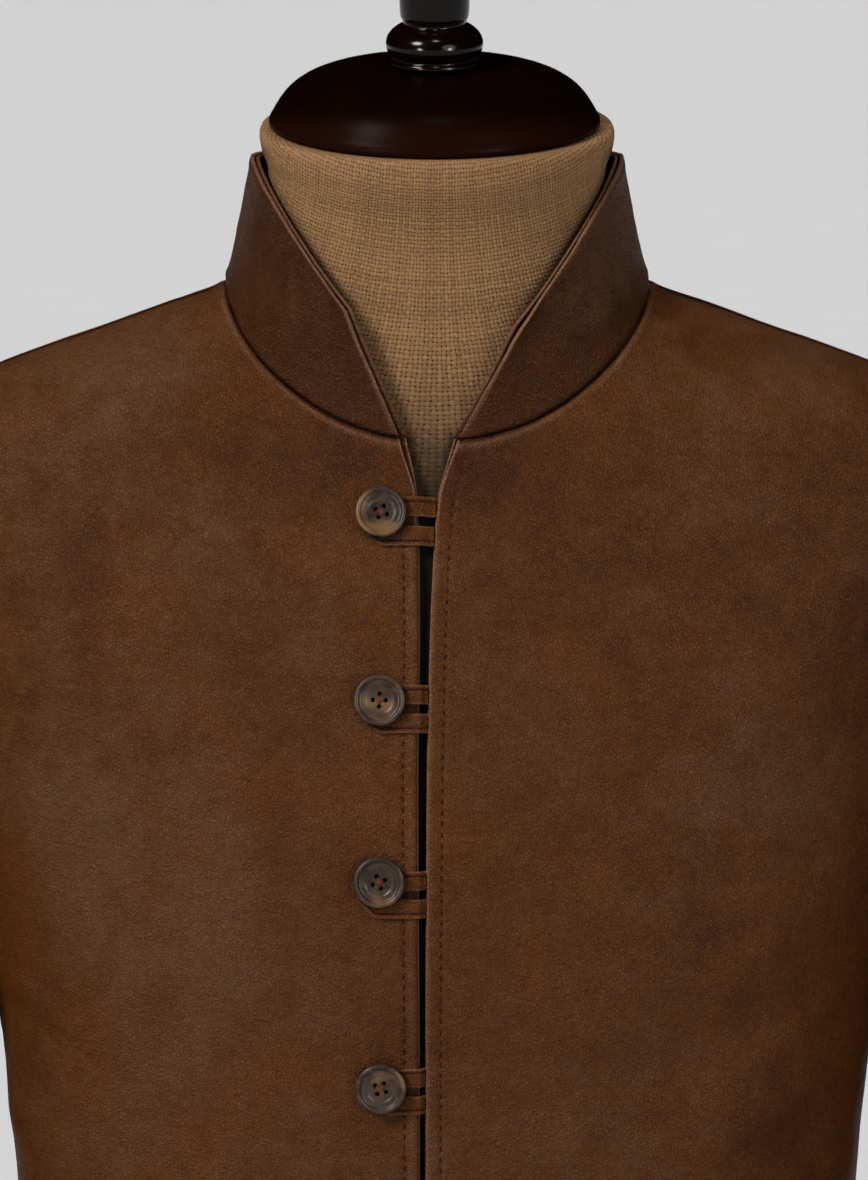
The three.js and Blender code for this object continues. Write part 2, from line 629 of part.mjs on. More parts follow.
/** A closed solid through rings of equal length, capped by its first and last rings. */
function loftGeometry(rings) {
  const count = rings[0].length;
  const points = rings.flat();
  const triangles = [];
  for (let j = 0; j < rings.length - 1; j += 1) {
    for (let i = 0; i < count; i += 1) {
      const k = (i + 1) % count;
      triangles.push([j * count + i, j * count + k, (j + 1) * count + k]);
      triangles.push([j * count + i, (j + 1) * count + k, (j + 1) * count + i]);
    }
  }
  const sumOf = (ring) => ring.reduce((sum, point) => sum.add(point), new THREE.Vector3());
  const centreOf = (ring) => sumOf(ring).divideScalar(count);
  const last = (rings.length - 1) * count;
  const low = points.push(centreOf(rings[0])) - 1;
  const high = points.push(centreOf(rings[rings.length - 1])) - 1;
  for (let i = 0; i < count; i += 1) {
    const k = (i + 1) % count;
    triangles.push([low, k, i], [high, last + i, last + k]);
  }
  return solidGeometry(points, triangles);
}

/** A turned solid about +Z from a profile of {r, h}. */
function turnedGeometry(profile, sides) {
  const outline = profile.map(({ r, h }) => new THREE.Vector2(r, h));
  return new THREE.LatheGeometry(outline, sides).rotateX(Math.PI / 2);
}

function toManifold(geometry) {
  const bare = geometry.clone();
  bare.deleteAttribute('normal');
  bare.deleteAttribute('uv');
  const merged = mergeVertices(bare, 1e-4);
  const mesh = new wasm.Mesh({
    numProp: 3,
    vertProperties: new Float32Array(merged.attributes.position.array),
    triVerts: new Uint32Array(merged.index.array),
  });
  return new wasm.Manifold(mesh);
}

function fromManifold(solid) {
  const mesh = solid.getMesh();
  return indexedGeometry(mesh.vertProperties, Array.from(mesh.triVerts));
}

// ---------------------------------------------------------------- button and loop

const BUTTON = {
  back: 2.1, thick: 3.6, rim: 1.5, dish: 1.1, slope: 1.2, sag: 0.4, backBevel: 1.4, frontBevel: 0.8,
  holeRadius: 0.9, holeOffset: 2.45, stem: 1.3,
};
// A loop's inner edge round the stem, how much it is drawn in on its diagonals, and how far its
// legs run on past the front's edge. The legs start level with the left front's underside and rise
// on to the right front.
const LOOP = { inside: 1.8, drawIn: 0.16, past: 3.5, turnStep: 30, edgeGap: 0.4, start: 0.1 - LEATHER };

/** A dished four-hole button on its thread stem, facing +Z, with its back at height BUTTON.back. */
function buttonGeometry({ loopBelow, spin }) {
  const radius = BUTTON_DIAMETER / 2;
  const face = BUTTON.back + BUTTON.thick;
  const inside = radius - BUTTON.rim;
  const profile = [
    { r: 0, h: BUTTON.back },
    { r: radius * 0.8, h: BUTTON.back },
    { r: radius, h: BUTTON.back + BUTTON.backBevel },
    { r: radius, h: face - BUTTON.frontBevel },
    { r: radius - BUTTON.frontBevel, h: face },
    { r: inside, h: face },
    { r: inside - BUTTON.slope, h: face - BUTTON.dish },
    { r: 0, h: face - BUTTON.dish - BUTTON.sag },
  ];
  let solid = toManifold(turnedGeometry(profile, 22));
  for (let k = 0; k < 4; k += 1) {
    const { holeRadius, holeOffset, back, thick } = BUTTON;
    const hole = new THREE.CylinderGeometry(holeRadius, holeRadius, 3 * thick, 6);
    hole.rotateX(Math.PI / 2);
    const angle = degrees(spin + 45 + 90 * k);
    hole.translate(holeOffset * Math.cos(angle), holeOffset * Math.sin(angle), back + thick / 2);
    solid = solid.subtract(toManifold(hole));
  }
  const length = BUTTON.back + BUTTON.backBevel - SEAM_GAP;
  const stem = new THREE.CylinderGeometry(BUTTON.stem, BUTTON.stem, length, 8);
  stem.rotateX(Math.PI / 2);
  stem.translate(0, -loopBelow, SEAM_GAP + length / 2);
  return fromManifold(solid.add(toManifold(stem)));
}

/** A frame on the right front at a button: its origin on the cloth and its +Z along the normal. */
function buttonFrame({ x, drop }) {
  const { point, normal } = onBody(x, drop, -1);
  const across = new THREE.Vector3(1, 0, 0).addScaledVector(normal, -normal.x).normalize();
  const up = normal.clone().cross(across);
  return new THREE.Matrix4().makeBasis(across, up, normal).setPosition(point);
}

/** The flat leather loop round a button's stem, laid on the right front from the left front's edge. */
function loopGeometry(button) {
  const middleDrop = button.drop + button.loopBelow;
  const legPoints = (turn) => {
    const legDrop = middleDrop - Math.sin(degrees(turn)) * (LOOP.inside + LOOP_WIDTH / 2);
    const left = frontEdges(legDrop + LOOP_WIDTH / 2).left - LOOP.edgeGap;
    const right = frontEdges(legDrop).right + SEAM_GAP;
    const across = [0, 1 / 3, 2 / 3, 1].map((share) => ({
      x: lerp(left, right, share),
      lift: lerp(LOOP.start, LOOP_LIFT, THREE.MathUtils.smoothstep(share, 0, 0.95)),
    }));
    across.push({ x: right - LOOP.past, lift: LOOP_LIFT });
    return across.map((point) => ({ ...point, turn, draw: 1, width: LOOP_WIDTH }));
  };
  const route = legPoints(90);
  for (let turn = 90; turn <= 270; turn += LOOP.turnStep) {
    const aside = Math.sin(degrees(turn - 90));
    route.push({
      x: button.x,
      turn,
      lift: LOOP_LIFT,
      draw: 1 - LOOP.drawIn * Math.sin(degrees(2 * (turn - 90))) ** 2,
      width: lerp(LOOP_WIDTH, button.turnWidth, aside),
    });
  }
  route.push(...legPoints(270).reverse());
  const rings = route.map(({ x, turn, lift, draw, width }) => {
    const corner = (share, height) => {
      const reach = draw * (LOOP.inside + share * width);
      const drop = middleDrop - reach * Math.sin(degrees(turn));
      const { point, normal } = onBody(x + reach * Math.cos(degrees(turn)), drop, -1);
      return point.addScaledVector(normal, lift + height);
    };
    return [corner(1, 0), corner(1, LOOP_THICK), corner(0, LOOP_THICK), corner(0, 0)];
  });
  return loftGeometry(rings);
}

// ---------------------------------------------------------------- dress form and stand

// The form's shoulders lie this far below the cloth's level sections, and its neck ends down inside
// the torso, where the two are blended by a high power so that the larger of them counts.
const FORM = { shoulderBelow: 4, neckRoot: 60, blendPower: 20, sides: 28, bottomDraw: 0.96 };

/** Distance from (0, centre) to where a test stops holding, along a level direction. */
function edgeDistance(isInside, centre, angle) {
  let low = 0;
  let high = 400;
  while (high - low > 1e-6) {
    const middle = (low + high) / 2;
    if (isInside(middle * Math.sin(angle), centre - middle * Math.cos(angle))) low = middle;
    else high = middle;
  }
  return low;
}

/** One level ring of the form: the body's section drawn in, joined smoothly to the neck's. */
function formRing(drop) {
  const neck = neckSection(-drop);
  const torso = bodySection(Math.max(NECK_POINT_DROP, drop - FORM.shoulderBelow));
  const centre = neck.centre * THREE.MathUtils.smoothstep(-drop, -FORM.neckRoot, 0);
  const inTorso = (x, y) => {
    const depth = (y < 0 ? torso.front : torso.back) - FORM_CLEARANCE;
    const half = torso.half - FORM_CLEARANCE;
    return Math.abs(x / half) ** torso.square + Math.abs(y / depth) ** torso.square < 1;
  };
  const inNeck = (x, y) => {
    const back = y - neck.centre;
    return Math.abs(x / neck.half) ** NECK_SQUARE + Math.abs(back / neck.depth) ** NECK_SQUARE < 1;
  };
  return Array.from({ length: FORM.sides }, (_, i) => {
    const angle = (2 * Math.PI * i) / FORM.sides;
    const neckReach = drop < FORM.neckRoot ? edgeDistance(inNeck, centre, angle) : 0;
    const isTorso = drop >= NECK_POINT_DROP + FORM.shoulderBelow;
    const torsoReach = isTorso ? edgeDistance(inTorso, centre, angle) : 0;
    const powers = neckReach ** FORM.blendPower + torsoReach ** FORM.blendPower;
    const reach = powers ** (1 / FORM.blendPower);
    const y = centre - reach * Math.cos(angle);
    const lean = Math.tan(degrees(neck.lean)) * (y - neck.centre);
    return new THREE.Vector3(reach * Math.sin(angle), y, NECK_Z - drop + lean);
  });
}

const FORM_DROPS = [
  FORM_END_DROP, 692, 620, 550, 480, 410, 345, 290, 230, 170, 115, 78, 58, 44, 33, 23,
  14, 7, 2, -8, -22, -38, -50, -58, -66,
];

function formGeometry() {
  const rings = FORM_DROPS.map(formRing);
  rings[0].forEach((point) => point.multiply(new THREE.Vector3(FORM.bottomDraw, FORM.bottomDraw, 1)));
  return loftGeometry(rings);
}

/** Places a turned piece on the leaning axis of the neck. */
function placeOnNeck(mesh, depthScale) {
  const { lean, centre } = neckSection(CAP_RISE);
  mesh.scale.set(1, depthScale, 1);
  mesh.rotation.x = degrees(lean);
  mesh.position.set(CAP_ASIDE, centre, NECK_Z + CAP_RISE);
}

// ---------------------------------------------------------------- the object

const jacket = new THREE.Group();

function addMesh(name, geometry, material) {
  const mesh = new THREE.Mesh(geometry, makeMaterial(material));
  mesh.name = name;
  jacket.add(mesh);
  return mesh;
}

for (const [side, word] of [[-1, 'right'], [1, 'left']]) {
  const facingFrom = -(LEATHER + PLY_GAP);
  addMesh(`front_${word}`, wallGeometry(frontGrid(side), 0, -LEATHER), 'leather');
  addMesh(`facing_${word}`, wallGeometry(facingGrid(side), facingFrom, facingFrom - PLY), 'leather');
  addMesh(`sleeve_${word}_upper`, wallGeometry(sleeveGrid(side, UPPER_SLEEVE), 0, -LEATHER), 'leather');
  addMesh(`sleeve_${word}_under`, wallGeometry(sleeveGrid(side, UNDER_SLEEVE), 0, -LEATHER), 'leather');
}
addMesh('back', wallGeometry(backGrid(), 0, -LEATHER), 'leather');

const collarFrom = -(PLY + PLY_GAP);
addMesh('collar', wallGeometry(collarGrid(false), 0, -PLY), 'collarLeather');
addMesh('collar_facing', wallGeometry(collarGrid(true), collarFrom, collarFrom - PLY), 'collarLeather');

const underlapFrom = -(LEATHER + PLY_GAP + PLY + UNDERLAP.gap);
addMesh('underlap', wallGeometry(underlapGrid(), underlapFrom, underlapFrom - LINING), 'lining');

BUTTONS.forEach((button, k) => {
  addMesh(`loop_${k + 1}`, loopGeometry(button), 'loopLeather');
  const mesh = addMesh(`button_${k + 1}`, buttonGeometry(button), 'horn');
  mesh.applyMatrix4(buttonFrame(button));
});

addMesh('form_torso', formGeometry(), 'burlap');
placeOnNeck(addMesh('neck_cap', turnedGeometry(CAP_PROFILE, 32), 'darkWood'), CAP_DEPTH);
placeOnNeck(addMesh('finial', turnedGeometry(FINIAL_PROFILE, 20), 'darkWood'), 1);

const foot = FOOT_PROFILE.map(({ r, h }) => ({ r: r * FOOT_RADIUS, h: h * FOOT_THICK }));
addMesh('foot', turnedGeometry(foot, 36), 'darkWood');
const postTop = NECK_Z - FORM_END_DROP - SEAM_GAP;
const postBottom = FOOT_THICK + SEAM_GAP;
const post = [
  { r: 0, h: postBottom },
  { r: POST_RADIUS * 2, h: postBottom },
  { r: POST_RADIUS * 1.7, h: postBottom + 8 },
  { r: POST_RADIUS, h: postBottom + 22 },
  { r: POST_RADIUS, h: postTop - 16 },
  { r: POST_RADIUS * 1.6, h: postTop - 6 },
  { r: POST_RADIUS * 1.6, h: postTop },
  { r: 0, h: postTop },
];
addMesh('post', turnedGeometry(post, 20), 'darkWood');

export default jacket;
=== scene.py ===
"""Leather band-collar jacket with a button and loop closure, worn on a dress form."""

import math

import bmesh
import bpy
import numpy as np
from mathutils import Matrix, Vector


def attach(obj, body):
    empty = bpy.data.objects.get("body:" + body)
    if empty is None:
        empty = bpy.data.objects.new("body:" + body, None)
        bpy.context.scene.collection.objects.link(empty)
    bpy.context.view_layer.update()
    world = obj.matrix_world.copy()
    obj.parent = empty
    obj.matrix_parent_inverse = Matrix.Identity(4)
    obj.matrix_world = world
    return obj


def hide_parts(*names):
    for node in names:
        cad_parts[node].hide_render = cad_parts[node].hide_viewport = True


bl_info = {
    "name": "Leather jacket on a dress form",
    "version": (1, 0, 0),
    "blender": (4, 5, 0),
    "location": "View3D > Sidebar > Jacket",
    "description": "Builds a band-collar leather jacket, its closure and the dress form under it",
    "category": "Mesh",
}

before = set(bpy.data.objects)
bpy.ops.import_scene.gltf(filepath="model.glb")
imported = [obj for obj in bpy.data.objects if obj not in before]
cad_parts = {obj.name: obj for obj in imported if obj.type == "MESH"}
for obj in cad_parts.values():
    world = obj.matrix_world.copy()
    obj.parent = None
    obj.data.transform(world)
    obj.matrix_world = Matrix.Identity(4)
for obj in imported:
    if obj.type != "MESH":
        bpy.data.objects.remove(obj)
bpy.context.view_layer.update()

MM = 0.001
ROOT = "root"

# ---------------------------------------------------------------- sizes, in millimetres
# Heights on the garment are given as a drop, the distance below the neck point. face is -1 on
# the front and 1 on the back, side is -1 on the wearer's right and 1 on the left.

NECK_Z = 930.0
HEM_DROP = 660.0
UNDERARM_DROP = 296.0
SHOULDER_DROP = 45.0
NECK_HALF = 84.0
NECK_POINT_DROP = -4.0
NECK_FRONT_DROP = 54.0
NECK_BACK_DROP = 6.0
NECK_CURVE = 1.3
NECK_SHARE = 0.3
LEATHER = 1.8
PLY = 1.4
PLY_GAP = 0.8
SEAM_GAP = 0.3
LINING = 1.2
FACING_WIDTH = 42.0
UNDERLAP_LEFT = 14.0
UNDERLAP_RIGHT = -24.0
UNDERLAP_TOP = 77.0
UNDERLAP_GAP = 0.5
FORM_CLEARANCE = 7.5
FORM_END_DROP = 700.0
FOOT_RADIUS = 160.0
FOOT_THICK = 26.0
POST_RADIUS = 15.0
CLOTH_STEP = 3.0
HEM_TURNING = 12.0
CUFF_TURNING = 10.0
SLEEVE_ROW_LENGTH = 46.0
STITCH_INSET = 5.6
STITCH_SUNK = 0.3
FACING_BELOW_SEAM = 1.5
SIDE_WORD = {-1: "right", 1: "left"}


def smoothstep(value, low, high):
    share = np.clip((value - low) / (high - low), 0, 1)
    return share * share * (3 - 2 * share)


def lerp(low, high, share):
    return low + (high - low) * share


def bell(value, width):
    """1 where the value is 0, falling off softly on both sides over about the width."""
    return np.exp(-((value / width) ** 2))


class Table:
    """Rows of sizes that vary smoothly, without overshoot, along the first column."""

    def __init__(self, columns, rows):
        self.columns = columns.split()[1:]
        rows = np.array(rows, float)
        self.keys, self.values = rows[:, 0], rows[:, 1:]
        steps = np.diff(self.values, axis=0) / np.diff(self.keys)[:, None]
        product, total = steps[:-1] * steps[1:], steps[:-1] + steps[1:]
        middle = np.where(product > 0, 2 * product / np.where(product > 0, total, 1), 0)
        self.slopes = np.vstack([steps[:1], middle, steps[-1:]])

    def at(self, key):
        """Every column at these keys, as a dict of arrays."""
        key = np.clip(np.asarray(key, float), self.keys[0], self.keys[-1])
        row = np.clip(np.searchsorted(self.keys, key, side="left") - 1, 0, len(self.keys) - 2)
        span = self.keys[row + 1] - self.keys[row]
        t = ((key - self.keys[row]) / span)[..., None]
        share = 3 * t**2 - 2 * t**3
        lean = (t**3 - 2 * t**2 + t) * self.slopes[row] + (t**3 - t**2) * self.slopes[row + 1]
        found = lerp(self.values[row], self.values[row + 1], share) + span[..., None] * lean
        return {name: found[..., k] for k, name in enumerate(self.columns)}


BODY = Table(
    "drop half front back square",
    [
        (-9, 75, 35.5, 49.5, 2.2),
        (NECK_POINT_DROP, NECK_HALF, 38, 51, 2.2),
        (0, 93, 41, 53, 2.2),
        (6, 110.5, 46, 57, 2.2),
        (14, 132, 52, 61, 2.2),
        (22, 155, 58, 66, 2.2),
        (30, 176, 63, 71, 2.25),
        (38, 194, 68, 75, 2.25),
        (45, 207, 72, 79, 2.3),
        (65, 212, 81, 88, 2.35),
        (100, 209, 93, 100, 2.4),
        (150, 200, 105, 110, 2.45),
        (210, 189, 113, 114, 2.5),
        (260, 182, 115, 111, 2.5),
        (296, 176.5, 113, 107, 2.5),
        (345, 171.5, 109, 101, 2.45),
        (400, 168.5, 104, 94, 2.4),
        (450, 167.5, 101, 91, 2.35),
        (510, 172, 102, 95, 2.35),
        (580, 179, 106, 105, 2.35),
        (660, 185, 110, 113, 2.35),
        (720, 187, 111, 115, 2.35),
    ],
)

# face, then each fold's two ends as x and drop, its width, and how far it stands out.
FOLDS = [
    (-1, -118, 30, -108, 110, 16, 1.6),
    (-1, -150, 210, -92, 270, 20, -1.8),
    (-1, -168, 330, -70, 372, 16, 2.0),
    (-1, -84, 190, -78, 300, 18, 1.6),
    (-1, -160, 415, -60, 455, 20, -2.4),
    (-1, -120, 500, -105, 650, 22, 2.6),
    (-1, 112, 170, 168, 100, 18, 1.8),
    (-1, 120, 230, 172, 170, 20, -1.6),
    (-1, 84, 300, 168, 262, 18, -2.0),
    (-1, 58, 372, 128, 306, 16, 1.9),
    (-1, 64, 440, 160, 410, 20, -2.2),
    (-1, 96, 510, 118, 655, 24, 2.4),
    (1, -140, 90, -60, 130, 22, 1.8),
    (1, 150, 130, 96, 250, 22, 2.2),
    (1, -150, 150, -110, 270, 20, 2.0),
    (1, -140, 400, -20, 428, 18, -2.6),
    (1, 20, 436, 150, 404, 18, -2.4),
    (1, -60, 470, -82, 650, 26, 2.8),
    (1, 74, 480, 88, 655, 24, 2.6),
]
FOLD_END_SHARE = 1.6

# Smaller creases on top of the folds, in the same columns.
CREASES = [
    (-1, -172, 268, -146, 284, 5, 0.7),
    (-1, -170, 282, -136, 298, 5, -0.5),
    (-1, -168, 300, -130, 318, 6, 0.5),
    (-1, 172, 262, 146, 284, 5, 0.7),
    (-1, 170, 280, 138, 302, 5, -0.5),
    (-1, 166, 300, 126, 322, 6, 0.5),
    (-1, -150, 424, -96, 436, 7, 0.9),
    (-1, 148, 420, 90, 446, 7, -0.8),
    (-1, -60, 560, -52, 640, 9, 0.8),
    (-1, 52, 570, 60, 650, 9, 0.7),
    (1, -168, 270, -120, 300, 6, 0.9),
    (1, 168, 272, 112, 316, 6, -0.9),
    (1, -120, 440, -40, 452, 8, 0.9),
    (1, 40, 418, 128, 400, 8, 0.9),
    (1, -30, 520, -24, 640, 10, 0.9),
    (1, 20, 30, 60, 60, 10, -0.6),
]

FRONT_EDGES = Table(
    "drop right left rightFacing leftFacing",
    [
        (50, -15.6, 9.3, 3.0, 1.9),
        (58, -13.5, 6.6, 2.7, 1.6),
        (66, -10.8, 3.5, 1.9, 1.0),
        (73, -8.7, 1.2, 0.9, 0.7),
        (80, -8.3, 0.1, 0.8, 0.5),
        (95, -7.6, -0.9, 0.7, 0.4),
        (125, -7.1, -2.3, 0.4, 0.4),
        (185, -7.7, -3.6, 0.4, 0.4),
        (320, -7.1, -4.3, 0.4, 0.4),
        (660, -8.0, -4.0, 0.4, 0.4),
    ],
)

ARMHOLE_TOP = SHOULDER_DROP
ARMHOLE_BOTTOM = UNDERARM_DROP
ARMHOLE_REACH = {-1: 60.0, 1: 62.0}

# The upper sleeve sections swing about a level hinge line, the lower ones are level.
SLEEVE_HINGE_X = 180.0
SLEEVE_HINGE_DROP = 299.0
# turn, inner, outer, front, back
SLEEVE_HEAD = [
    (14, 3, 214, 63, 63),
    (24, 3.5, 168, 66, 66),
    (38, 4, 128, 69, 68),
    (60, 4, 102, 71, 70),
    (90, 3.5, 92, 71, 70),
]
# drop, inner, outer, front, back
SLEEVE_ARM = [
    (335, 189, 275, 69, 71),
    (375, 193, 278, 63, 71),
    (410, 195, 278, 61, 67),
    (450, 197, 277, 64, 58),
    (500, 199, 276, 69, 47),
    (550, 201, 274, 74, 37),
    (600, 203, 272, 78, 29),
    (640, 204, 270, 80, 24),
]
SLEEVE_ROWS = len(SLEEVE_HEAD) + len(SLEEVE_ARM)
SLEEVE_START = 0.005
SLEEVE_GAP_ANGLE = 0.15
# The seam angles of each sleeve piece, and how many columns of points it has.
SLEEVE_PARTS = {"upper": (40.0, 298.0, 76), "under": (-62.0, 40.0, 30)}
# How far apart, on the cloth, a degree round the sleeve and a row down it are, about.
SLEEVE_DEGREE = 0.86
SLEEVE_ROW = 49.0
CUFF_CENTRE = (237.0, 28.0)
# Folds of the sleeves: side (0 both), then two ends as angle and row, width, height.
SLEEVE_FOLDS = [
    (0, 20, 6.4, 92, 7.0, 9, -2.2),
    (0, 52, 7.1, 120, 7.7, 8, 1.8),
    (0, 30, 7.8, 104, 8.3, 8, -2.0),
    (0, 60, 8.7, 130, 8.3, 8, 1.4),
    (-1, 90, 4.2, 150, 6.2, 11, 1.6),
    (1, 100, 3.6, 142, 5.8, 12, 1.8),
    (-1, 30, 3.4, 84, 4.4, 8, -1.6),
    (1, 24, 3.2, 92, 4.6, 9, -1.6),
    (-1, 210, 3.0, 250, 5.6, 12, 1.7),
    (1, 206, 3.4, 262, 6.0, 11, 1.5),
    (-1, 236, 6.6, 300, 7.6, 10, -1.8),
    (1, 226, 7.2, 292, 6.6, 10, -1.7),
    (-1, 150, 9.4, 190, 12.0, 12, 1.5),
    (1, 160, 9.0, 176, 12.4, 12, 1.5),
    (0, 250, 10.2, 330, 10.9, 9, 1.3),
    (0, 20, 10.6, 76, 11.4, 9, -1.4),
]

COLLAR_HALF = 74.0
COLLAR_CENTRE = -10.0
COLLAR_FRONT = 75.0
COLLAR_BACK = 58.0
COLLAR_SIDE_RISE = 54.0
COLLAR_BACK_RISE = 58.0
COLLAR_CLIMB = 1.7
COLLAR_SPREAD = 0.9
COLLAR_LIFT = 0.5
COLLAR_TURNED_UNDER = 2.6
COLLAR_END_CLEAR = 0.005
COLLAR_CORNER_TURN = {-1: 29.0, 1: 26.0}
COLLAR_CORNER_RISE = {-1: -4.0, 1: -11.0}
COLLAR_FACING_PAST = 0.1
COLLAR_SEAM_RUN = 430.0

# drop, x, the loop's middle line below the button's, turn of the holes, and how wide the loop
# still is where it turns round the stem
BUTTONS = [
    (81.4, -21.6, 2.9, 20, 4.8),
    (151.9, -22.2, 3.3, 43, 4.8),
    (221.4, -22.4, 5.2, 64, 7.2),
    (302.2, -21.8, 2.0, 14, 4.8),
    (379, -22.2, 3.4, 30, 5.2),
    (456, -22.4, 4.4, 75, 6.6),
    (533, -22.4, 3.2, 52, 4.8),
]
BUTTON_RADIUS = 10.0
BUTTON_BACK = 2.1
BUTTON_THICK = 3.6
HOLE_OFFSET = 2.45
HOLE_RADIUS = 0.95
LOOP_WIDTH = 7.4
LOOP_THICK = 1.2
LOOP_LIFT = 0.5
LOOP_INSIDE = 1.8
LOOP_DRAW_IN = 0.16
# Places across a loop, from its inner edge (0) to its outer one (1), and where it is sewn.
LOOP_ACROSS = np.array([0, 0.05, 0.12, 0.2, 0.3, 0.38, 0.46, 0.55, 0.65, 0.72, 0.77, 0.83, 0.9,
                        0.95, 1])
LOOP_GROOVE = 0.75

FORM_NECK = Table(
    "rise half depth centre lean",
    [
        (-60, 92, 58, -6, 0),
        (-25, 80, 57, -8, 0),
        (0, 74, 55, -10, 1),
        (22, 69.5, 55.4, -12, 3),
        (40, 67, 57.4, -15, 6),
        (50, 67, 59, -17, 9),
        (58, 69.6, 60.2, -18, 10.5),
        (66, 71, 61.2, -18.5, 10.5),
    ],
)
NECK_SQUARE = 2.2
WEAVE_PITCH = 1.8
WEAVE_RADIUS = 68.0
WEAVE_LEAN = 0.45
WEAVE_BOW = 24.0
NECK_ROOT = 60.0
SHOULDER_BELOW = 4.0
BLEND_POWER = 20
CAP_RISE = 66.3
CAP_DEPTH = 0.9
CAP_ASIDE = -1.0
# r, h
CAP_PROFILE = [
    (0, 0), (64.6, 0), (65.6, 0.6), (65.8, 1.8), (65.4, 3.4), (64.3, 5.2), (62.8, 7.9), (60.8, 11),
    (58.4, 13.9), (55, 16.8), (50, 19.7), (42, 22.4), (32, 23.7), (18, 24), (0, 24),
]
FINIAL_PROFILE = [
    (0, 24.3), (17, 24.3), (18.7, 25.0), (18.7, 27), (17.2, 28), (18.7, 30), (19.5, 33),
    (18.4, 36.8), (15.4, 39.6), (12.6, 41), (12.7, 42.4), (13.9, 44.6), (13.9, 62), (12, 67),
    (7, 70), (0, 71),
]
# the same, as shares of the foot's radius and thickness
FOOT_PROFILE = [
    (0, 0), (0.9, 0), (1, 0), (1, 0.2), (1, 0.35), (0.965, 0.55), (0.95, 0.8), (0.93, 1),
    (0.85, 1), (0, 1),
]
# the post's flared foot and head: its radius as a share, and how far from that end
POST_FOOT = [(0, 0), (1.6, 0), (2, 0), (2, 3), (1.7, 8), (1.1, 14), (1, 26)]
POST_HEAD = [(1, 22), (1.15, 13), (1.6, 6), (1.6, 0), (1.2, 0), (0, 0)]

# ---------------------------------------------------------------- the stage, in metres

FLOOR_HALF = 60.0
FLOOR_GREY = 0.69
WORLD_STRENGTH = 0.15
CAMERA_PLACE = (-0.0012, -2.4621, 1.1105)
CAMERA_LENS = 187.75
CAMERA_TURN = 83.0
# name, azimuth from the front towards +X, height in degrees, softness, strength
SUNS = [
    ("key light", -46, 36, 18, 2.85),
    ("fill light", 34, 14, 30, 0.7),
    ("top light", 20, 80, 40, 0.5),
    ("back light", 165, 20, 30, 0.6),
]
SUNS_IN_GLOSS = ("key light", "fill light")
SUN_DISTANCE = 3.0
# Small softboxes that show as highlights in the polished wood and the buttons: name, azimuth,
# height, power.
SOFTBOXES = [("left softbox", -34, 4, 14), ("right softbox", 36, 5, 14), ("top softbox", 4, 58, 5)]
SOFTBOX_SIZE = (0.25, 0.35)
SOFTBOX_DISTANCE = 2.2
SOFTBOX_TARGET = (0, 0, 0.98)

# ---------------------------------------------------------------- the jacket's body surface


def width_at(reach, drop, face):
    """The x at which a level section is this far from the side plane."""
    section = BODY.at(drop)
    depth = section["front"] if face < 0 else section["back"]
    rest = np.maximum(0, 1 - np.abs(reach / depth) ** section["square"])
    return section["half"] * rest ** (1 / section["square"])


def ridge_height(rows, group, across, along):
    """Sum of the soft folds of one group near points given by two lengths."""
    height = np.zeros(np.broadcast(across, along).shape)
    for where, a1, b1, a2, b2, width, stand in rows:
        if where not in (0, group):
            continue
        length = math.hypot(a2 - a1, b2 - b1)
        lengthways = ((across - a1) * (a2 - a1) + (along - b1) * (b2 - b1)) / length
        aside = ((across - a1) * (b2 - b1) - (along - b1) * (a2 - a1)) / length
        past = np.maximum(0, np.maximum(-lengthways, lengthways - length))
        away = (aside / width) ** 2 + (past / (FOLD_END_SHARE * width)) ** 2
        height += stand * np.exp(-away)
    return height


def unevenness(across, along, seed, wave=60.0, octaves=3):
    """Soft irregular rise and fall of hide, about -1 to 1, from seeded crossing waves."""
    chance = np.random.RandomState(seed)
    total = np.zeros(np.broadcast(across, along).shape)
    for octave in range(octaves):
        for _ in range(4):
            turn, phase, drift = chance.uniform(0, 2 * math.pi, 3)
            length = wave / 1.9**octave * chance.uniform(0.75, 1.3)
            u = (across * math.cos(turn) + along * math.sin(turn)) * 2 * math.pi / length
            v = (along * math.cos(turn) - across * math.sin(turn)) * 2 * math.pi / (1.7 * length)
            total += np.sin(u + phase + 0.9 * np.sin(v + drift)) / (4 * 1.6**octave)
    return total


def seam_roll(distance, dip, ridge, reach):
    """Cloth beside a seam: it rolls down into it and stands up a little past it."""
    return ridge * bell(distance - reach, 0.65 * reach) - dip * bell(distance, 0.4 * reach)


def on_body(x, drop, face, rise=0.0):
    """Points of the cloth's outer face and its normals, moved out by rise."""
    x, drop = np.broadcast_arrays(np.asarray(x, float), np.asarray(drop, float))
    section = BODY.at(drop)
    half, square = section["half"], section["square"]
    depth = section["front"] if face < 0 else section["back"]
    rest = np.maximum(0, 1 - np.abs(x / half) ** square)
    y = face * depth * rest ** (1 / square)

    def level(at):
        here = BODY.at(at)
        deep = here["front"] if face < 0 else here["back"]
        return np.abs(x / here["half"]) ** here["square"] + np.abs(y / deep) ** here["square"]

    normal = np.stack(
        [
            np.sign(x) * square * np.abs(x / half) ** (square - 1) / half,
            face * square * np.abs(y / depth) ** (square - 1) / depth,
            level(drop - 0.5) - level(drop + 0.5),
        ],
        -1,
    )
    normal /= np.linalg.norm(normal, axis=-1, keepdims=True)
    fade = smoothstep(np.abs(y), 4, 40)
    folds = ridge_height(FOLDS, face, x, drop) + ridge_height(CREASES, face, x, drop)
    swell = 0.45 * unevenness(x, drop, 3 + face)
    point = np.stack([x, y, NECK_Z - drop], -1)
    return point + normal * (fade * (folds + swell) + rise)[..., None], normal


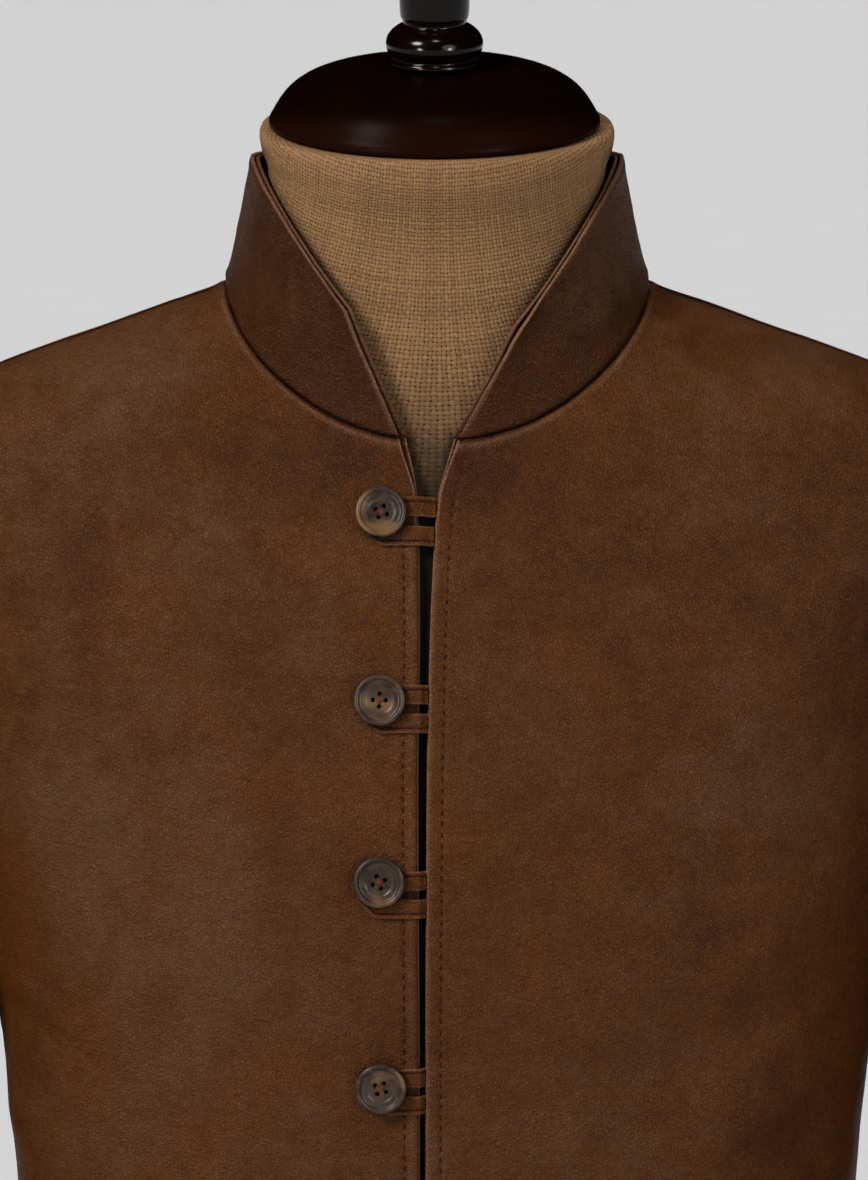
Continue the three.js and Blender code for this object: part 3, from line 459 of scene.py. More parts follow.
def neckline(turn, face):
    """Neckline: turn 0 is the front centre, 1 the neck point at the side."""
    angle = (math.pi / 2) * (1 - (1 - turn) ** 2)
    deepest = NECK_FRONT_DROP if face < 0 else NECK_BACK_DROP
    fall = np.maximum(0, np.cos(angle)) ** NECK_CURVE
    return NECK_HALF * np.sin(angle), lerp(NECK_POINT_DROP, deepest, fall)


def neckline_turn(x):
    """The turn at which the neckline is this far from the middle."""
    return 1 - np.sqrt(1 - np.arcsin(np.minimum(1, np.abs(x) / NECK_HALF)) / (math.pi / 2))


def armhole(share, face):
    """Armhole edge from the underarm (0) to the shoulder tip (1), as x and drop."""
    angle = math.pi * share
    middle = (ARMHOLE_TOP + ARMHOLE_BOTTOM) / 2
    drop = middle + (ARMHOLE_BOTTOM - ARMHOLE_TOP) / 2 * np.cos(angle)
    away = np.maximum(SEAM_GAP / 2, ARMHOLE_REACH[face] * np.sin(angle))
    return width_at(away, drop, face), drop


def front_edge(drop, side, facing=False):
    """Where a front, or its facing, ends, measured towards its own side."""
    edges, word = FRONT_EDGES.at(drop), SIDE_WORD[side]
    return side * edges[word] - (edges[word + "Facing"] if facing else 0)


def top_edge(p, first_turn, face):
    """Top edge of a half panel: the neckline, then the shoulder seam."""
    neck_x, neck_drop = neckline(lerp(first_turn, 1, np.minimum(1, p / NECK_SHARE)), face)
    drop = lerp(NECK_POINT_DROP, SHOULDER_DROP, np.clip((p - NECK_SHARE) / (1 - NECK_SHARE), 0, 1))
    seam_x = width_at(SEAM_GAP / 2, drop, face)
    return np.where(p <= NECK_SHARE, neck_x, seam_x), np.where(p <= NECK_SHARE, neck_drop, drop)


def half_panel(p, v, face, centre, first_turn):
    """x and drop of a half panel: p runs from the centre edge outwards, v 0 is the hem, 1 the
    level of the underarm and 2 the top."""
    low_drop = lerp(HEM_DROP, UNDERARM_DROP, np.minimum(v, 1))
    side_x = width_at(SEAM_GAP / 2, low_drop, face)
    spread = np.sin(p * math.pi / 2) ** (2 / BODY.at(low_drop)["square"])
    low_x = lerp(centre(low_drop), side_x, spread)
    s = np.clip(v - 1, 0, 1)
    top_x, top_drop = top_edge(p, first_turn, face)
    inner_x, inner_drop = top_edge(np.zeros(1), first_turn, face)
    outer_x, outer_drop = top_edge(np.ones(1), first_turn, face)
    inside_drop = lerp(UNDERARM_DROP, inner_drop, s)
    inside_x = centre(inside_drop)
    outside_x, outside_drop = armhole(s, face)
    first_x = centre(np.array([UNDERARM_DROP]))
    last_x = width_at(SEAM_GAP / 2, UNDERARM_DROP, face)
    base_spread = np.sin(p * math.pi / 2) ** (2 / BODY.at(UNDERARM_DROP)["square"])
    base_x = lerp(first_x, last_x, base_spread)

    def mix(low, high, inside, outside, low0, low1, high0, high1):
        corners = lerp(lerp(low0, high0, s), lerp(low1, high1, s), p)
        return lerp(low, high, s) + lerp(inside, outside, p) - corners

    x = mix(base_x, top_x, inside_x, outside_x, first_x, last_x, inner_x, outer_x)
    drop = mix(UNDERARM_DROP, top_drop, inside_drop, outside_drop, UNDERARM_DROP,
               UNDERARM_DROP, inner_drop, outer_drop)
    return np.where(v <= 1, low_x, x), np.where(v <= 1, low_drop, drop)


def neckline_distance(x, drop, face):
    """How far a point of the body is from the collar seam, along the cloth, about."""
    tall = (NECK_FRONT_DROP if face < 0 else NECK_BACK_DROP) - NECK_POINT_DROP
    fall = np.maximum(1e-6, (drop - NECK_POINT_DROP) / tall)
    level = np.sqrt((x / NECK_HALF) ** 2 + fall ** (2 / NECK_CURVE))
    slope = np.hypot(x / NECK_HALF**2, fall ** (2 / NECK_CURVE - 1) / (NECK_CURVE * tall))
    return np.maximum(0, level - 1) * level / np.maximum(slope, 1e-6)


def armhole_distance(y, drop, face):
    """How far a point of the body is from the armhole seam, along the cloth, about."""
    middle = (ARMHOLE_TOP + ARMHOLE_BOTTOM) / 2
    tall = (ARMHOLE_BOTTOM - ARMHOLE_TOP) / 2
    reach = ARMHOLE_REACH[face]
    level = np.hypot(y / reach, (drop - middle) / tall)
    slope = np.hypot(y / reach**2, (drop - middle) / tall**2) / np.maximum(level, 1e-6)
    return np.maximum(0, level - 1) / np.maximum(slope, 1e-6)


# ---------------------------------------------------------------- colour variation of the hide, with painted sheen and shade
# face, x, drop, reach across, reach down, amount: above 0 greyer and lighter, below 0 darker. Along
# with the hide's own patches, these paint sheen and highlights and the shade of folds.
MOTTLE_SHEEN_AND_SHADE = [
    (-1, -140, 16, 50, 24, 0.8),
    (-1, 154, 10, 34, 22, 0.9),
    (-1, 130, 32, 30, 16, 0.4),
    (-1, -84, 40, 22, 14, -0.25),
    (-1, -158, 110, 26, 44, 0.3),
    (-1, -90, 100, 34, 24, 0.4),
    (-1, 60, 118, 40, 30, 0.25),
    (-1, 134, 92, 34, 30, -0.15),
    (-1, -148, 205, 34, 32, 0.9),
    (-1, -100, 270, 34, 54, 0.6),
    (-1, -84, 232, 16, 36, 0.7),
    (-1, -120, 322, 60, 30, 0.5),
    (-1, -20, 300, 50, 50, 0.3),
    (-1, -64, 210, 10, 44, -0.6),
    (-1, -171, 246, 9, 30, -0.6),
    (-1, 64, 225, 24, 12, 0.4),
    (-1, 115, 192, 24, 12, 0.5),
    (-1, 150, 190, 22, 22, 0.4),
    (-1, 112, 242, 36, 12, -0.4),
    (-1, 72, 300, 28, 30, 0.4),
    (-1, 120, 314, 22, 26, -0.4),
    (-1, 172, 225, 10, 50, -0.4),
    (-1, 24, 62, 34, 18, -0.7),
    (-1, -28, 62, 26, 16, -0.6),
    (1, -60, 100, 50, 40, 0.5),
    (1, 80, 220, 40, 60, -0.4),
    (1, 20, 420, 70, 30, 0.4),
]

# Where the warm colour under the finish shows through, in the same columns.
WARM = [
    (-1, 40, 250, 60, 90, 0.3),
    (-1, 156, 265, 28, 80, 0.55),
    (-1, -58, 200, 34, 44, 0.3),
    (-1, -170, 246, 12, 44, 0.8),
    (-1, -70, 44, 26, 16, 0.35),
    (-1, 44, 60, 34, 20, 0.4),
    (-1, -60, 440, 90, 110, 0.3),
    (-1, -110, 300, 50, 60, 0.25),
    (1, 60, 180, 80, 90, 0.4),
    (1, -90, 330, 60, 80, 0.4),
]


def patch_tone(x, drop, face, patches=MOTTLE_SHEEN_AND_SHADE):
    """Sum of one face's patches at these points."""
    total = np.zeros(np.shape(x))
    for where, px, pd, reach_x, reach_drop, amount in patches:
        if where == face:
            total += amount * np.exp(-(((x - px) / reach_x) ** 2) - ((drop - pd) / reach_drop) ** 2)
    return total


# ---------------------------------------------------------------- making meshes


def new_object(name, data):
    """An object that holds this mesh, light or camera, in the scene."""
    made = bpy.data.objects.new(name, data)
    bpy.context.scene.collection.objects.link(made)
    return made


def mesh_object(bm, name):
    """An object of this bmesh, which is used up."""
    mesh = bpy.data.meshes.new(name)
    bm.to_mesh(mesh)
    bm.free()
    return new_object(name, mesh)


def finish_mesh(bm, name, material, replaced=()):
    """Turns a bmesh into a smooth piece that rides on the frame."""
    piece = mesh_object(bm, name)
    mesh = piece.data
    mesh.materials.append(material)
    mesh.polygons.foreach_set("use_smooth", [True] * len(mesh.polygons))
    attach(piece, ROOT)
    if replaced:
        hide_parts(*replaced)
    return piece


def spaced(low, high, step):
    """Values from low to high about a step apart."""
    return np.linspace(low, high, max(2, round(abs(high - low) / step) + 1))


def grid(across, along):
    """A flat grid of faces, with the column and the row that each of its points is in."""
    bm = bmesh.new()
    bmesh.ops.create_grid(bm, x_segments=across, y_segments=along, size=0.5)
    flat = np.array([vert.co[:2] for vert in bm.verts])
    column, row = np.rint((flat + 0.5) * (across, along)).astype(int).T
    return bm, column, row


def cloth(name, columns, rows, place, wall, material, replaced):
    """A sheet on a grid of columns and rows: place gives the points in mm and their four tones.
    The wall goes inwards."""
    bm, i, j = grid(len(columns) - 1, len(rows) - 1)
    points, tone = place(columns[i], rows[j])
    for vert, point in zip(bm.verts, points * MM):
        vert.co = point
    spread = np.empty((len(rows), len(columns), 3))
    spread[j, i] = points * MM
    if signed_outward(bm) < 0:
        bmesh.ops.reverse_faces(bm, faces=bm.faces)
    piece = finish_mesh(bm, name, material, replaced)
    attribute = piece.data.attributes.new("tone", "FLOAT_COLOR", "POINT")
    values = np.ones((len(tone), 4), np.float32)
    values[:, :3] = tone[:, :3]
    attribute.data.foreach_set("color", values.ravel())
    attribute = piece.data.attributes.new("warm", "FLOAT", "POINT")
    attribute.data.foreach_set("value", tone[:, 3].astype(np.float32))
    piece["cut_width"] = float(np.linalg.norm(np.diff(spread, axis=1), axis=2).sum(1).max())
    piece["cut_length"] = float(np.linalg.norm(np.diff(spread, axis=0), axis=2).sum(0).max())
    thick = piece.modifiers.new("wall", "SOLIDIFY")
    thick.thickness = wall * MM
    thick.offset = -1
    round_off = piece.modifiers.new("turned edge", "BEVEL")
    round_off.width = 0.28 * wall * MM
    round_off.segments = 2
    round_off.limit_method = "ANGLE"
    round_off.angle_limit = math.radians(60)
    return piece


def signed_outward(bm):
    """Above 0 when the faces of an open shell look away from the line it goes round."""
    bm.normal_update()
    middle = sum((vert.co for vert in bm.verts), Vector()) / len(bm.verts)
    axis = Vector((0, 0, 0))
    on_sleeve = abs(middle.x) > 0.17
    if on_sleeve:
        axis.x = math.copysign(0.2, middle.x)
    total = 0.0
    for face in bm.faces:
        out = face.calc_center_median() - axis
        out.z = 0
        total += face.normal.dot(out) * face.calc_area()
    return total


# ---------------------------------------------------------------- materials


class Paint:
    """Short-hand for building one material's nodes."""

    def __init__(self, name):
        self.material = bpy.data.materials.get(name) or bpy.data.materials.new(name)
        self.material.use_nodes = True
        self.tree = self.material.node_tree
        self.tree.nodes.clear()
        self.output = self.tree.nodes.new("ShaderNodeOutputMaterial")

    def feed(self, socket, value):
        """Links another node's output to a socket, or sets its number or colour."""
        if isinstance(value, bpy.types.NodeSocket):
            self.tree.links.new(value, socket)
        else:
            socket.default_value = value

    def node(self, kind, inputs=None, **settings):
        made = self.tree.nodes.new("ShaderNode" + kind)
        for name, value in settings.items():
            setattr(made, name, value)
        for name, value in (inputs or {}).items():
            self.feed(made.inputs[name], value)
        return made

    def coords(self):
        return self.node("TexCoord").outputs["Object"]

    def uv(self):
        return self.node("TexCoord").outputs["UV"]

    def mapped(self, vector, scale, turn=(0.0, 0.0, 0.0)):
        """The vector turned and then stretched."""
        made = self.node("Mapping", {"Vector": vector, "Rotation": turn, "Scale": scale})
        return made.outputs[0]

    def tone(self):
        """The piece's tones at each point: red, green and blue, which hold painted shade and
        highlights along with the piece's own marks.
        """
        tone = self.node("Attribute", attribute_name="tone")
        return self.node("SeparateColor", {"Color": tone.outputs["Color"]}).outputs

    def noise(self, vector, scale, detail=2.0, roughness=0.5, distortion=0.0):
        made = self.node("TexNoise", {"Vector": vector, "Scale": scale, "Detail": detail,
                                      "Roughness": roughness, "Distortion": distortion})
        return made.outputs["Fac"]

    def waves(self, vector, scale, distortion):
        made = self.node("TexWave", {"Vector": vector, "Scale": scale, "Distortion": distortion})
        return made.outputs["Fac"]

    def math(self, operation, a, b=0.0, c=0.0):
        made = self.node("Math", operation=operation)
        for socket, value in zip(made.inputs, (a, b, c)):
            self.feed(socket, value)
        return made.outputs[0]

    def plus(self, a, b):
        return self.math("ADD", a, b)

    def times(self, a, b):
        return self.math("MULTIPLY", a, b)

    def ramp(self, value, low, high, to_low=0.0, to_high=1.0, smooth=True):
        made = self.node("MapRange", {"Value": value, "From Min": low, "From Max": high,
                                      "To Min": to_low, "To Max": to_high},
                         interpolation_type="SMOOTHSTEP" if smooth else "LINEAR")
        return made.outputs["Result"]

    def mix(self, share, a, b, blend="MIX"):
        made = self.node("Mix", data_type="RGBA", blend_type=blend)
        sockets = (made.inputs["Factor"], made.inputs[6], made.inputs[7])
        for socket, value in zip(sockets, (share, a, b)):
            self.feed(socket, value)
        return made.outputs[2]

    def grey(self, value):
        """The colour whose red, green and blue are all this value."""
        return self.node("CombineColor", {"Red": value, "Green": value, "Blue": value}).outputs[0]

    def shaded(self, colour, light):
        """The colour made lighter or darker by a share."""
        return self.mix(1.0, colour, self.grey(light), "MULTIPLY")

    def bump(self, height, distance, strength=1.0, normal=None):
        inputs = {"Height": height, "Distance": distance, "Strength": strength}
        if normal is not None:
            inputs["Normal"] = normal
        return self.node("Bump", inputs).outputs["Normal"]

    def shader(self, **inputs):
        named = {name.replace("_", " "): value for name, value in inputs.items()}
        made = self.node("BsdfPrincipled", named)
        self.tree.links.new(made.outputs["BSDF"], self.output.inputs["Surface"])
        return self.material


def rgb(red, green, blue):
    """A colour given as it looks on a screen, 0 to 255, as the light the nodes work in."""
    return tuple(((c / 255 + 0.055) / 1.055) ** 2.4 if c > 10 else c / 3294
                 for c in (red, green, blue)) + (1.0,)


def tinted(colour, share):
    """A colour made lighter or darker by a share."""
    return tuple(share * c for c in colour[:3]) + (1.0,)


def between(colour, other, share):
    """A colour that lies this share of the way from one to the other."""
    return tuple(lerp(a, b, share) for a, b in zip(colour, other))


def leather_paint(name, mid, grey, orange, dark, edge):
    """Antiqued leather: two-tone mottling with painted sheen and shade, fine grain, rubbed edges
    with painted highlights, and dark seams with painted shade.
    """
    paint = Paint(name)
    place = paint.coords()
    shade, rub_and_highlight, patch = tuple(paint.tone())[:3]
    warmth = paint.node("Attribute", attribute_name="warm").outputs["Fac"]
    broad = paint.noise(place, 13.0, 2.0, 0.5)
    cloudy = paint.noise(place, 48.0, 3.0, 0.55)
    fleck = paint.noise(place, 620.0, 3.0, 0.7)
    pores = paint.noise(place, 1500.0, 2.0, 0.6)
    drawn = paint.mapped(place, (1.0, 1.0, 1.7), (0.0, 0.6, 0.0))
    wrinkle = paint.noise(drawn, 300.0, 3.0, 0.62, 0.9)
    blotch = paint.noise(place, 105.0, 2.0, 0.5)

    # the patch tone paints sheen and shade along with the hide's own greyer and darker patches
    greyness = patch
    for cloud, reach in ((broad, 0.18), (cloudy, 0.16), (blotch, 0.14)):
        greyness = paint.plus(greyness, paint.ramp(cloud, 0.3, 0.7, -reach, reach, False))
    colour = paint.mix(paint.ramp(greyness, 0.5, 1.0, 0.0, 0.85, False), mid, grey)
    colour = paint.mix(paint.ramp(greyness, 0.5, 0.0, 0.0, 0.7, False), colour, dark)
    warm = paint.ramp(paint.noise(place, 21.0, 3.0, 0.6), 0.46, 0.74, 0.0, 0.4)
    colour = paint.mix(warm, colour, orange)
    colour = paint.mix(warmth, colour, tinted(orange, 1.15 * mid[0] / orange[0]))
    colour = paint.mix(paint.ramp(fleck, 0.5, 0.68, 0.0, 0.12), colour, orange)
    # painted shade from the first tone; rubbed edges and painted highlights from the second
    colour = paint.mix(paint.ramp(shade, 0.0, 1.0, 0.0, 0.95), colour, dark)
    colour = paint.mix(paint.ramp(rub_and_highlight, 0.0, 1.0, 0.0, 0.9), colour, edge)
    cells = paint.node("TexVoronoi", {"Vector": place, "Scale": 720.0, "Randomness": 1.0},
                       feature="DISTANCE_TO_EDGE").outputs["Distance"]
    creases = paint.ramp(cells, 0.0, 0.22)
    flecks = paint.times(paint.ramp(fleck, 0.3, 0.7, 0.8, 1.12, smooth=False),
                         paint.ramp(creases, 0.0, 1.0, 0.84, 1.02))
    colour = paint.shaded(colour, paint.times(flecks, paint.ramp(wrinkle, 0.36, 0.6, 0.86, 1.08)))

    height = paint.times(creases, 0.5)
    for layer, depth in ((fleck, 0.25), (pores, 0.2), (wrinkle, 1.6)):
        height = paint.plus(height, paint.times(layer, depth))
    grain = paint.bump(height, 0.00055, 1.0)
    soft = paint.bump(cloudy, 0.0012, 0.4, grain)
    rough = paint.ramp(fleck, 0.3, 0.7, 0.4, 0.52)
    return paint.shader(Base_Color=colour, Roughness=rough, Normal=soft, Specular_IOR_Level=0.085)


def lining_paint():
    """Black twill of the strip behind the closure."""
    paint = Paint("black lining")
    place = paint.coords()
    twill = paint.waves(place, 900.0, 0.3)
    colour = paint.mix(paint.noise(place, 300.0), rgb(10, 9, 7), rgb(17, 15, 12))
    return paint.shader(Base_Color=colour, Roughness=0.85, Specular_IOR_Level=0.1,
                        Normal=paint.bump(twill, 0.0001, 0.5))


def burlap_paint():
    """Coarse plain weave: the UV map is in metres, around the form and up it."""
    paint = Paint("burlap")
    uv = paint.uv()
    painted_shade = paint.tone()[0]
    moved = uv
    for scale, reach in ((160.0, 0.0013), (520.0, 0.0007)):
        wander = paint.node("TexNoise", {"Vector": uv, "Scale": scale, "Detail": 2.0})
        wander = paint.node("VectorMath", {0: wander.outputs["Color"], 1: (0.5, 0.5, 0.5)},
                            operation="SUBTRACT")
        wander = paint.node("VectorMath", {0: wander.outputs[0], "Scale": reach}, operation="SCALE")
        moved = paint.node("VectorMath", {0: moved, 1: wander.outputs[0]}, operation="ADD")
        moved = moved.outputs[0]
    split = paint.node("SeparateXYZ", {"Vector": moved})
    u, v = (paint.math("DIVIDE", split.outputs[axis], WEAVE_PITCH * MM) for axis in "XY")

    def crown(value):
        """Round section of the yarns that lie side by side along value, 0 to 1."""
        return paint.math("ABSOLUTE", paint.math("SINE", paint.times(value, math.pi)))

    crossing = paint.plus(paint.math("FLOOR", u), paint.math("FLOOR", v))
    odd = paint.math("ABSOLUTE", paint.math("MODULO", crossing, 2.0))

    def yarn(value):
        """Each yarn's own lightness."""
        made = paint.node("TexWhiteNoise", {"W": paint.math("FLOOR", value)}, noise_dimensions="1D")
        return paint.ramp(made.outputs["Value"], 0.0, 1.0, 0.82, 1.14, smooth=False)

    crown_u, crown_v = crown(u), crown(v)
    warp = paint.times(crown_u, paint.math("MULTIPLY_ADD", crown_v, 0.5, 0.5))
    weft = paint.times(crown_v, paint.math("MULTIPLY_ADD", crown_u, 0.5, 0.5))
    flip = paint.math("SUBTRACT", 1.0, odd)
    height = paint.plus(paint.times(warp, odd), paint.times(weft, flip))
    fibre = paint.noise(uv, 1900.0, 3.0, 0.7)
    slub = paint.noise(uv, 120.0, 3.0)
    uneven = paint.ramp(paint.noise(uv, 420.0, 2.0), 0.32, 0.62, 0.15, 1.0)
    holes = paint.times(paint.ramp(paint.plus(crown_u, crown_v), 1.2, 0.42), uneven)
    colour = paint.mix(paint.ramp(height, 0.0, 0.5), rgb(122, 86, 48), rgb(150, 114, 76))
    colour = paint.mix(paint.ramp(slub, 0.42, 0.66, 0.0, 0.45), colour, rgb(140, 98, 72))
    colour = paint.mix(paint.ramp(fibre, 0.48, 0.72, 0.0, 0.4), colour, rgb(176, 144, 106))
    colour = paint.mix(holes, colour, rgb(54, 30, 10))
    light = paint.plus(paint.times(yarn(u), odd), paint.times(yarn(v), flip))
    colour = paint.shaded(colour, light)
    # painted shade beside the collar and front edges and lower down the neck
    colour = paint.mix(paint.ramp(painted_shade, 0.0, 1.0, 0.0, 0.93), colour, rgb(26, 22, 16))
    normal = paint.bump(paint.plus(height, paint.times(fibre, 0.35)), 0.0005, 0.5)
    return paint.shader(Base_Color=colour, Roughness=0.9, Normal=normal, Specular_IOR_Level=0.1)


def wood_paint(name, roughness, ior, foot_redness=0.0):
    """Dark polished wood, made redder towards the foot of a neck cap by the last argument."""
    paint = Paint(name)
    place = paint.coords()
    grain = paint.noise(paint.mapped(place, (60.0, 60.0, 14.0)), 3.0, 5.0, 0.6, 1.2)
    colour = paint.mix(paint.ramp(grain, 0.3, 0.75), rgb(8, 3, 1), rgb(13, 4, 2))
    height = paint.node("SeparateXYZ", {"Vector": place}).outputs["Z"]
    cap_foot = NECK_Z + CAP_RISE
    foot = paint.ramp(height, (cap_foot + 9) * MM, (cap_foot - 4) * MM, 0.0, foot_redness)
    colour = paint.mix(foot, colour, rgb(32, 11, 5))
    normal = paint.bump(grain, 0.0001, 0.25)
    return paint.shader(Base_Color=colour, Roughness=roughness, Normal=normal, IOR=ior)


def horn_paint():
    """Dark horn with pale clouds and fine dark streaks."""
    paint = Paint("streaked horn")
    place = paint.coords()
    stretched = paint.mapped(place, (1.0, 2.4, 1.4), (0.3, 0.5, 0.7))
    streak = paint.noise(stretched, 110.0, 4.0, 0.6, 1.5)
    cloud = paint.noise(place, 48.0, 2.0)
    fine = paint.noise(stretched, 620.0, 3.0, 0.6)
    colour = paint.mix(paint.ramp(streak, 0.35, 0.68), rgb(38, 28, 21), rgb(68, 51, 39))
    colour = paint.mix(paint.ramp(cloud, 0.5, 0.64, 0.0, 0.75), colour, rgb(122, 90, 54))
    colour = paint.mix(paint.ramp(fine, 0.5, 0.75, 0.0, 0.35), colour, rgb(26, 22, 20))
    normal = paint.bump(fine, 0.00008, 0.5)
    return paint.shader(Base_Color=colour, Roughness=0.34, Normal=normal, Specular_IOR_Level=0.26)


def thread_paint(name, colour):
    """Twisted sewing thread."""
    paint = Paint(name)
    twist = paint.waves(paint.coords(), 1500.0, 1.0)
    shade = paint.mix(paint.ramp(twist, 0.2, 0.8, 0.0, 0.5), colour, tinted(colour, 0.45))
    return paint.shader(Base_Color=shade, Roughness=0.8, Specular_IOR_Level=0.08,
                        Normal=paint.bump(twist, 0.0001, 0.6))


def floor_paint():
    """Pale floor, hardly uneven."""
    paint = Paint("studio floor")
    fine = paint.noise(paint.coords(), 3.0, 3.0)
    shade = paint.ramp(fine, 0.3, 0.7, FLOOR_GREY * 0.99, FLOOR_GREY * 1.01)
    return paint.shader(Base_Color=paint.grey(shade), Roughness=0.9, Specular_IOR_Level=0.1)


# ---------------------------------------------------------------- body panels


def spread_columns(fine_steps, fine_size, wide_size):
    """Shares from 0 to 1: fine beside the first edge, then growing to an even wide spacing."""
    steps = [fine_size] * fine_steps
    while steps[-1] < wide_size:
        steps.append(steps[-1] * 1.3)
    left = 1 - sum(steps)
    count = round(left / wide_size)
    return np.concatenate([[0], np.cumsum(steps + [left / count] * count)])


def panel_rows():
    """v of a body panel's rows, with two more close below its top edge."""
    low = np.linspace(0, 1, round((HEM_DROP - UNDERARM_DROP) / CLOTH_STEP) + 1)
    high = 1 + np.linspace(0, 1, round((UNDERARM_DROP - NECK_FRONT_DROP) / CLOTH_STEP) + 1)
    fine = CLOTH_STEP / 480
    return np.sort(np.concatenate([low, high[1:], [2 - 1.6 * fine, 2 - 0.8 * fine]]))


def seam_tone(distance, reach=1.1):
    """Dark line along a seam: its darker join, with painted shade in the dip beside it."""
    return bell(distance, reach)


def panel_finish(x, drop, face):
    """Rise and tone of a body panel beside its collar, shoulder, side and armhole seams, with
    painted shade in the seams and a painted highlight on the ridge beside the collar seam.
    """
    y = on_body(x, drop, face)[0][:, 1]
    collar = neckline_distance(x, drop, face)
    arm = armhole_distance(y, drop, face)
    beside_arm = (drop > ARMHOLE_TOP + 2) & (drop < ARMHOLE_BOTTOM - 2)
    side = np.where(beside_arm, 60.0, np.abs(y))
    hem = HEM_DROP - drop
    rise = seam_roll(collar, 0.6, 0.4, 2.4)
    rise += seam_roll(side, 0.8, 0.35, 3.0)
    rise += seam_roll(arm, 0.8, 0.3, 3.0)
    rise += seam_roll(np.abs(hem - HEM_TURNING), 0.4, 0.2, 2.5)
    pucker = np.exp(-collar / 9) + np.exp(-arm / 8) + 0.6 * np.exp(-side / 8)
    rise += 0.3 * pucker * unevenness(x, drop, 11, wave=13.0, octaves=1)
    # painted shade in the seams and the hem turning
    seams = seam_tone(collar) + seam_tone(side) + seam_tone(arm)
    dark = np.clip(0.95 * seams + 0.5 * seam_tone(np.abs(hem - HEM_TURNING), 1.0), 0, 1)
    # painted highlight on the ridge beside the collar seam; the hem edge is rubbed lighter
    rub_and_highlight = 0.4 * bell(collar - 2.4, 1.1) + 0.8 * bell(hem, 1.0)
    return rise, dark, rub_and_highlight


def tones(dark, rub_and_highlight, patch, warm=0.0):
    """The hide's four tones at each point: dark seams and painted shade, rubbed edges and painted
    highlights, greyer or darker patches with painted sheen and shade, warmer.
    """
    warm = np.broadcast_to(warm, np.shape(dark))
    return np.clip(np.stack([dark, rub_and_highlight, 0.5 + 0.5 * patch, warm], -1), 0, 1)


def painted_closure_shadow(x, drop):
    """Painted shadow on the right front round and under each button and between the legs of its
    loop.
    """
    shade = np.zeros(x.shape)
    for button_drop, button_x, below, _, _ in BUTTONS:
        middle = button_drop + below
        slot_shadow = bell(drop - middle, 2.6) * smoothstep(x, button_x + 1, button_x + 5)
        away = np.hypot(x - button_x - 0.6, drop - button_drop - 0.8)
        ring_shadow = 0.5 * bell(np.maximum(0, away - BUTTON_RADIUS), 1.3)
        shade = np.maximum(shade, np.maximum(slot_shadow, ring_shadow))
    return shade


def front_place(side):
    """Places one front, with its rolled and sewn edge."""

    def centre(drop):
        return front_edge(drop, side)

    first_turn = neckline_turn(FRONT_EDGES.at(NECK_FRONT_DROP)[SIDE_WORD[side]])

    def place(p, v):
        x, drop = half_panel(p, v, -1, centre, first_turn)
        rise, dark, rub_and_highlight = panel_finish(x, drop, -1)
        edge = x - centre(drop)
        x = side * x
        row = edge - STITCH_INSET
        sewn = smoothstep(drop, *((86, 96) if side < 0 else (60, 74)))
        rise += 0.45 * smoothstep(edge, 0.2, 1.6) * (1 - smoothstep(edge, 3.6, STITCH_INSET))
        rise -= 0.4 * sewn * bell(row, 0.8)
        rise += 0.25 * sewn * bell(row - 2.0, 1.3)
        ripple = sewn * bell(row, 4.5)
        rise += 0.22 * ripple * unevenness(edge, drop, 21 + side, wave=15.0, octaves=1)
        # painted shade in the sunk stitch groove
        dark = np.clip(dark + 0.22 * sewn * bell(row, 0.8), 0, 1)
        if side < 0:
            # the right front's very edge is dark below the collar, with a paler band inside it
            low = smoothstep(drop, 78, 100)
            rub_and_highlight = rub_and_highlight + 0.9 * (1 - low) * bell(edge, 0.7) + 0.2 * low * bell(edge - 2.8, 1.5)
            # painted shadow of the buttons and loops on the right front
            dark = np.maximum(dark, painted_closure_shadow(x, drop))
            dark = np.maximum(dark, 0.75 * low * bell(edge, 0.6))
        else:
            low = smoothstep(drop, 70, 100)
            rub_and_highlight = rub_and_highlight + lerp(0.9, 0.5, low) * bell(edge, lerp(0.7, 1.3, low))
        point, _ = on_body(x, drop, -1, rise)
        return point, tones(dark, rub_and_highlight, patch_tone(x, drop, -1), patch_tone(x, drop, -1, WARM))

    return place


def strip_drop(v, top):
    """Drop along a strip: v is 0 at the hem, 1 level with the underarm and 2 at the strip's top."""
    low = lerp(HEM_DROP, UNDERARM_DROP, np.minimum(v, 1))
    return np.where(v <= 1, low, lerp(UNDERARM_DROP, top, np.clip(v - 1, 0, 1)))


def facing_place(side):
    """Places the facing behind one front's edge."""

    def place(share, v):
        width = share * FACING_WIDTH
        top_x = front_edge(np.full(share.shape, NECK_FRONT_DROP), side, True) + width
        drop = strip_drop(v, neckline(neckline_turn(top_x), -1)[1] - FACING_BELOW_SEAM)
        x = side * (front_edge(drop, side, True) + width)
        rub_and_highlight = 0.9 * bell(width, 0.6)
        point, _ = on_body(x, drop, -1, -(LEATHER + PLY_GAP))
        # painted shade on the facing where it lies behind the front, all but its light cut edge
        dark = (0.5 if side < 0 else 1.0) * smoothstep(width, 0.4, 0.9)
        return point, tones(dark, rub_and_highlight, 0 * x)

    return place


def back_place(p, v):
    """Places the back, whose p is below 0 on the right half."""
    side = np.where(p < 0, -1.0, 1.0)

    def centre(drop):
        return 0.0 * drop

    x, drop = half_panel(np.abs(p), v, 1, centre, 0.0)
    rise, dark, rub_and_highlight = panel_finish(x, drop, 1)
    x = side * x
    point, _ = on_body(x, drop, 1, rise)
    return point, tones(dark, rub_and_highlight, patch_tone(x, drop, 1), patch_tone(x, drop, 1, WARM))


def underlap_place(share, v):
    """Places the strip behind the closure."""
    x = lerp(UNDERLAP_RIGHT, UNDERLAP_LEFT, share)
    behind = LEATHER + PLY_GAP + PLY + UNDERLAP_GAP
    point, _ = on_body(x, strip_drop(v, UNDERLAP_TOP), -1, -behind)
    return point, tones(0 * x, 0 * x, 0 * x)


# ---------------------------------------------------------------- sleeves


